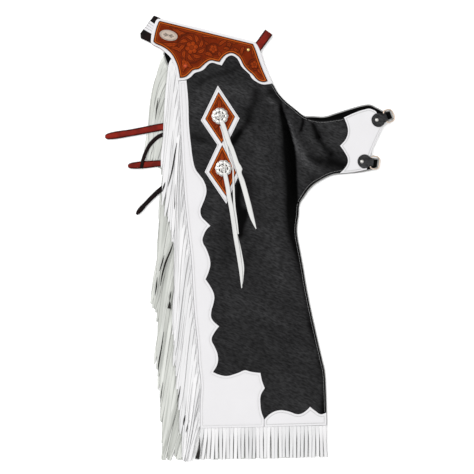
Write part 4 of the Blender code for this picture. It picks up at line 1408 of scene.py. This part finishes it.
# The camera and the free strings come first
camera = bpy.data.objects.new("camera", bpy.data.cameras.new("camera"))
bpy.context.scene.collection.objects.link(camera)
camera.data.lens = LENS
camera.data.sensor_width = SENSOR
camera.data.clip_end = CAMERA_REACH
camera.location = (
    VIEW_CENTRE[0] * MM,
    VIEW_CENTRE[1] * MM,
    (VIEW_WIDTH * LENS / SENSOR + LEATHER_LEVEL) * MM,
)
bpy.context.scene.camera = camera

# Each look is a material and the name of a slot, which nothing uses
BLACK = black_leather(), "black_leather"
WHITE = white_leather(), "white_leather"
FRINGE, FLESH_IN_PAINTED_SHADE, STRING, SHADE = (
    (fringe_leather(name, light, dark, edge), slot)
    for name, light, dark, edge, slot in CUT_LEATHERS
)
TOOLED = tooled_leather(), "tooled_leather"
STRAP_LOOKS = {
    name: (strap_leather(name, light, dark, edge), name)
    for name, light, dark, edge in STRAP_LEATHERS
}
SILVER, NICKEL, BRASS, BRONZE, COPPER = (
    (engraved_metal(name, polished, tarnish, roughness), slot)
    for name, polished, tarnish, roughness, slot in METALS
)
WHITE_THREAD = thread("white_thread", (0.6, 0.6, 0.6)), "white_leather"
GREY_THREAD = thread("grey_thread", (0.3, 0.3, 0.3)), "black_leather"

for node, rows, width in STRINGS:
    piece, line, length = strap_piece(
        node, rows, STRING_THICKNESS, STRING, section=STRIP_SECTION, sheet=False
    )

# The legs and their overlays
slab("under_leg", BLACK, HIDDEN_PITCH, edge=0.9, relief=raw_edge_with_painted_sheen, grooves=LAYER_GROOVES,
     rings=(1.4, 2.0, 2.8))
panel = slab("leg_panel", BLACK, pitch=3.4, edge=0.8, lift=folded, relief=tone_and_painted_light,
             seam=PANEL_SEAM)
line = inset_line(panel, PANEL_SEAM)
line = line[(line[:, 0] > PANEL_STITCH_FROM) & ~inside(line, node_outline("wing_tab"))]
line = line[~inside(line, node_outline("yoke_border")) & ~inside(line, node_outline("hem_band"))]
panel_top = PANEL_LEVEL + LEG_LEATHER - SEAM_DEPTH
verts, faces = joined(stitches(line, lambda points: panel_top + folded(points)))
add_piece("leg_panel_stitches", verts, faces, GREY_THREAD)
for node, seam in OVERLAY_SEAMS:
    loop = slab(node, WHITE, seam=seam, rings=(2.5, 4, 5, 6.5))
    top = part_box(node)[1].z / MM
    parts = stitches(inset_line(loop, seam), lambda points: np.full(len(points), top - SEAM_DEPTH))
    verts, faces = joined(parts)
    add_piece(node + "_stitches", verts, faces, WHITE_THREAD)
    slab("under_" + node, WHITE, HIDDEN_PITCH, face_down=True)
slab("yoke_border", WHITE)
slab("under_yoke", TOOLED, HIDDEN_PITCH, face_down=True)

# The tooled leather
yoke_relief = tooling(YOKE_RIM, YOKE_OUTLINE, yoke_motifs())
slab("yoke", TOOLED, TOOLED_PITCH, step=1.0, edge=0.6, relief=yoke_relief)
slab("diamond_border", WHITE, pitch=2.5, edge=0.5, seam=2.6, rings=(1.8, 2.6, 3.4))
for node in ("upper_diamond", "lower_diamond"):
    relief = tooling(DIAMOND_RIM, DIAMOND_OUTLINE, diamond_motifs(node))
    slab(node, TOOLED, TOOLED_PITCH, step=1.0, edge=0.5, relief=relief)

# Metal
fine = np.concatenate((np.linspace(0.02, 0.96, 52), (0.985, 1.0)))
for node in ("upper_concho", "lower_concho"):
    disc(node, SILVER, fine, 144, concho_profile, CONCHO_RADIUS, outline=concho_outline)
disc("badge", NICKEL, fine, 160, badge_profile, BADGE_RADIUS, BADGE_SQUASH, BADGE_TURN)
rivet("yoke_stud", BRASS, 3.5)
rivet("yoke_rivet", COPPER, 4.5)
for name, centre, heading, ring_distance in CHAFES:
    lift = chafe_lift(centre, heading, ring_distance)
    slab(name + "_chafe", BLACK, pitch=1.6, step=1.2, lift=lift, relief=even_wear, seam=2.2)
    rivet(name + "_chafe_rivet", SILVER, 4.0)
    ring_piece(name + "_ring", BRONZE, centre, heading, ring_distance)

# Belt and straps
slab("back_belt", STRAP_LOOKS["dark_leather"], pitch=6, edge=0.9, grooves=LAYER_GROOVES)
for index in range(LACE_COUNT):
    share = index / (LACE_COUNT - 1)
    rows = []
    for first, last in zip(FIRST_LACE, LAST_LACE):
        x, y = Vector(first).lerp(Vector(last), share)
        rows.append((x, y, LACE_BOTTOM, LACE_WIDTH))
    name = f"back_lace_{index + 1}"
    strap_piece(name, rows, STRING_THICKNESS, WHITE, 4.0, STRIP_SECTION, sheet=False)
for node, rows, thickness, leather in STRAPS:
    strap_piece(node, rows, thickness, STRAP_LOOKS[leather])

# Fringe
side_fringe("side_fringe", FRINGE, SIDE_SEAM, SIDE_STRANDS, base=7.1, rise=1.3, layers=4, seed=7,
            spread=4.0, most_roll=0.55)
side_fringe("under_side_fringe", FLESH_IN_PAINTED_SHADE, UNDER_SIDE_SEAM, UNDER_SIDE_STRANDS, base=0.15, rise=1.2,
            layers=2, seed=21, spread=6.0, most_roll=0.1)
gap_shadow_slivers("side_fringe_gap_shadows", SHADE)
hem_fringe("hem_fringe", FRINGE, base=7.3, sag=3.4, seed=5)
hem_fringe("under_hem_fringe", FLESH_IN_PAINTED_SHADE, base=0.2, sag=0.0, seed=12)

# Floor and light
WORLD_STRENGTH = 0.15
SOFT_LIGHTS = (  # name, strength, width in degrees and the way towards it
    ("overhead", 3.0, 90, (0, 0, 1)),
    ("left", 1.5, 45, (-0.62, 0.35, 1)),
)
FLOOR_HALF = 4
FLOOR_LEVEL = -0.0004
floor_mesh = bpy.data.meshes.new("floor")
corners = [(x * FLOOR_HALF, y * FLOOR_HALF, FLOOR_LEVEL) for x, y in ((-1, -1), (1, -1), (1, 1), (-1, 1))]
floor_mesh.from_pydata(corners, [], [(0, 1, 2, 3)])
floor = bpy.data.objects.new("floor", floor_mesh)
bpy.context.scene.collection.objects.link(floor)
paper = Finish("paper", 0.9, specular=0.1)
paper.colour((0.95, 0.95, 0.95, 1))
floor_mesh.materials.append(paper.material)

world = bpy.data.worlds.new("studio")
bpy.context.scene.world = world
world.use_nodes = True
world.node_tree.nodes["Background"].inputs["Color"].default_value = (1, 1, 1, 1)
world.node_tree.nodes["Background"].inputs["Strength"].default_value = WORLD_STRENGTH
for name, strength, spread, towards in SOFT_LIGHTS:
    light = bpy.data.objects.new(name, bpy.data.lights.new(name, "SUN"))
    light.data.energy = strength
    light.data.angle = math.radians(spread)
    light.rotation_euler = Vector(towards).to_track_quat("Z", "Y").to_euler()
    bpy.context.scene.collection.objects.link(light)
bpy.context.scene.view_settings.view_transform = "Standard"
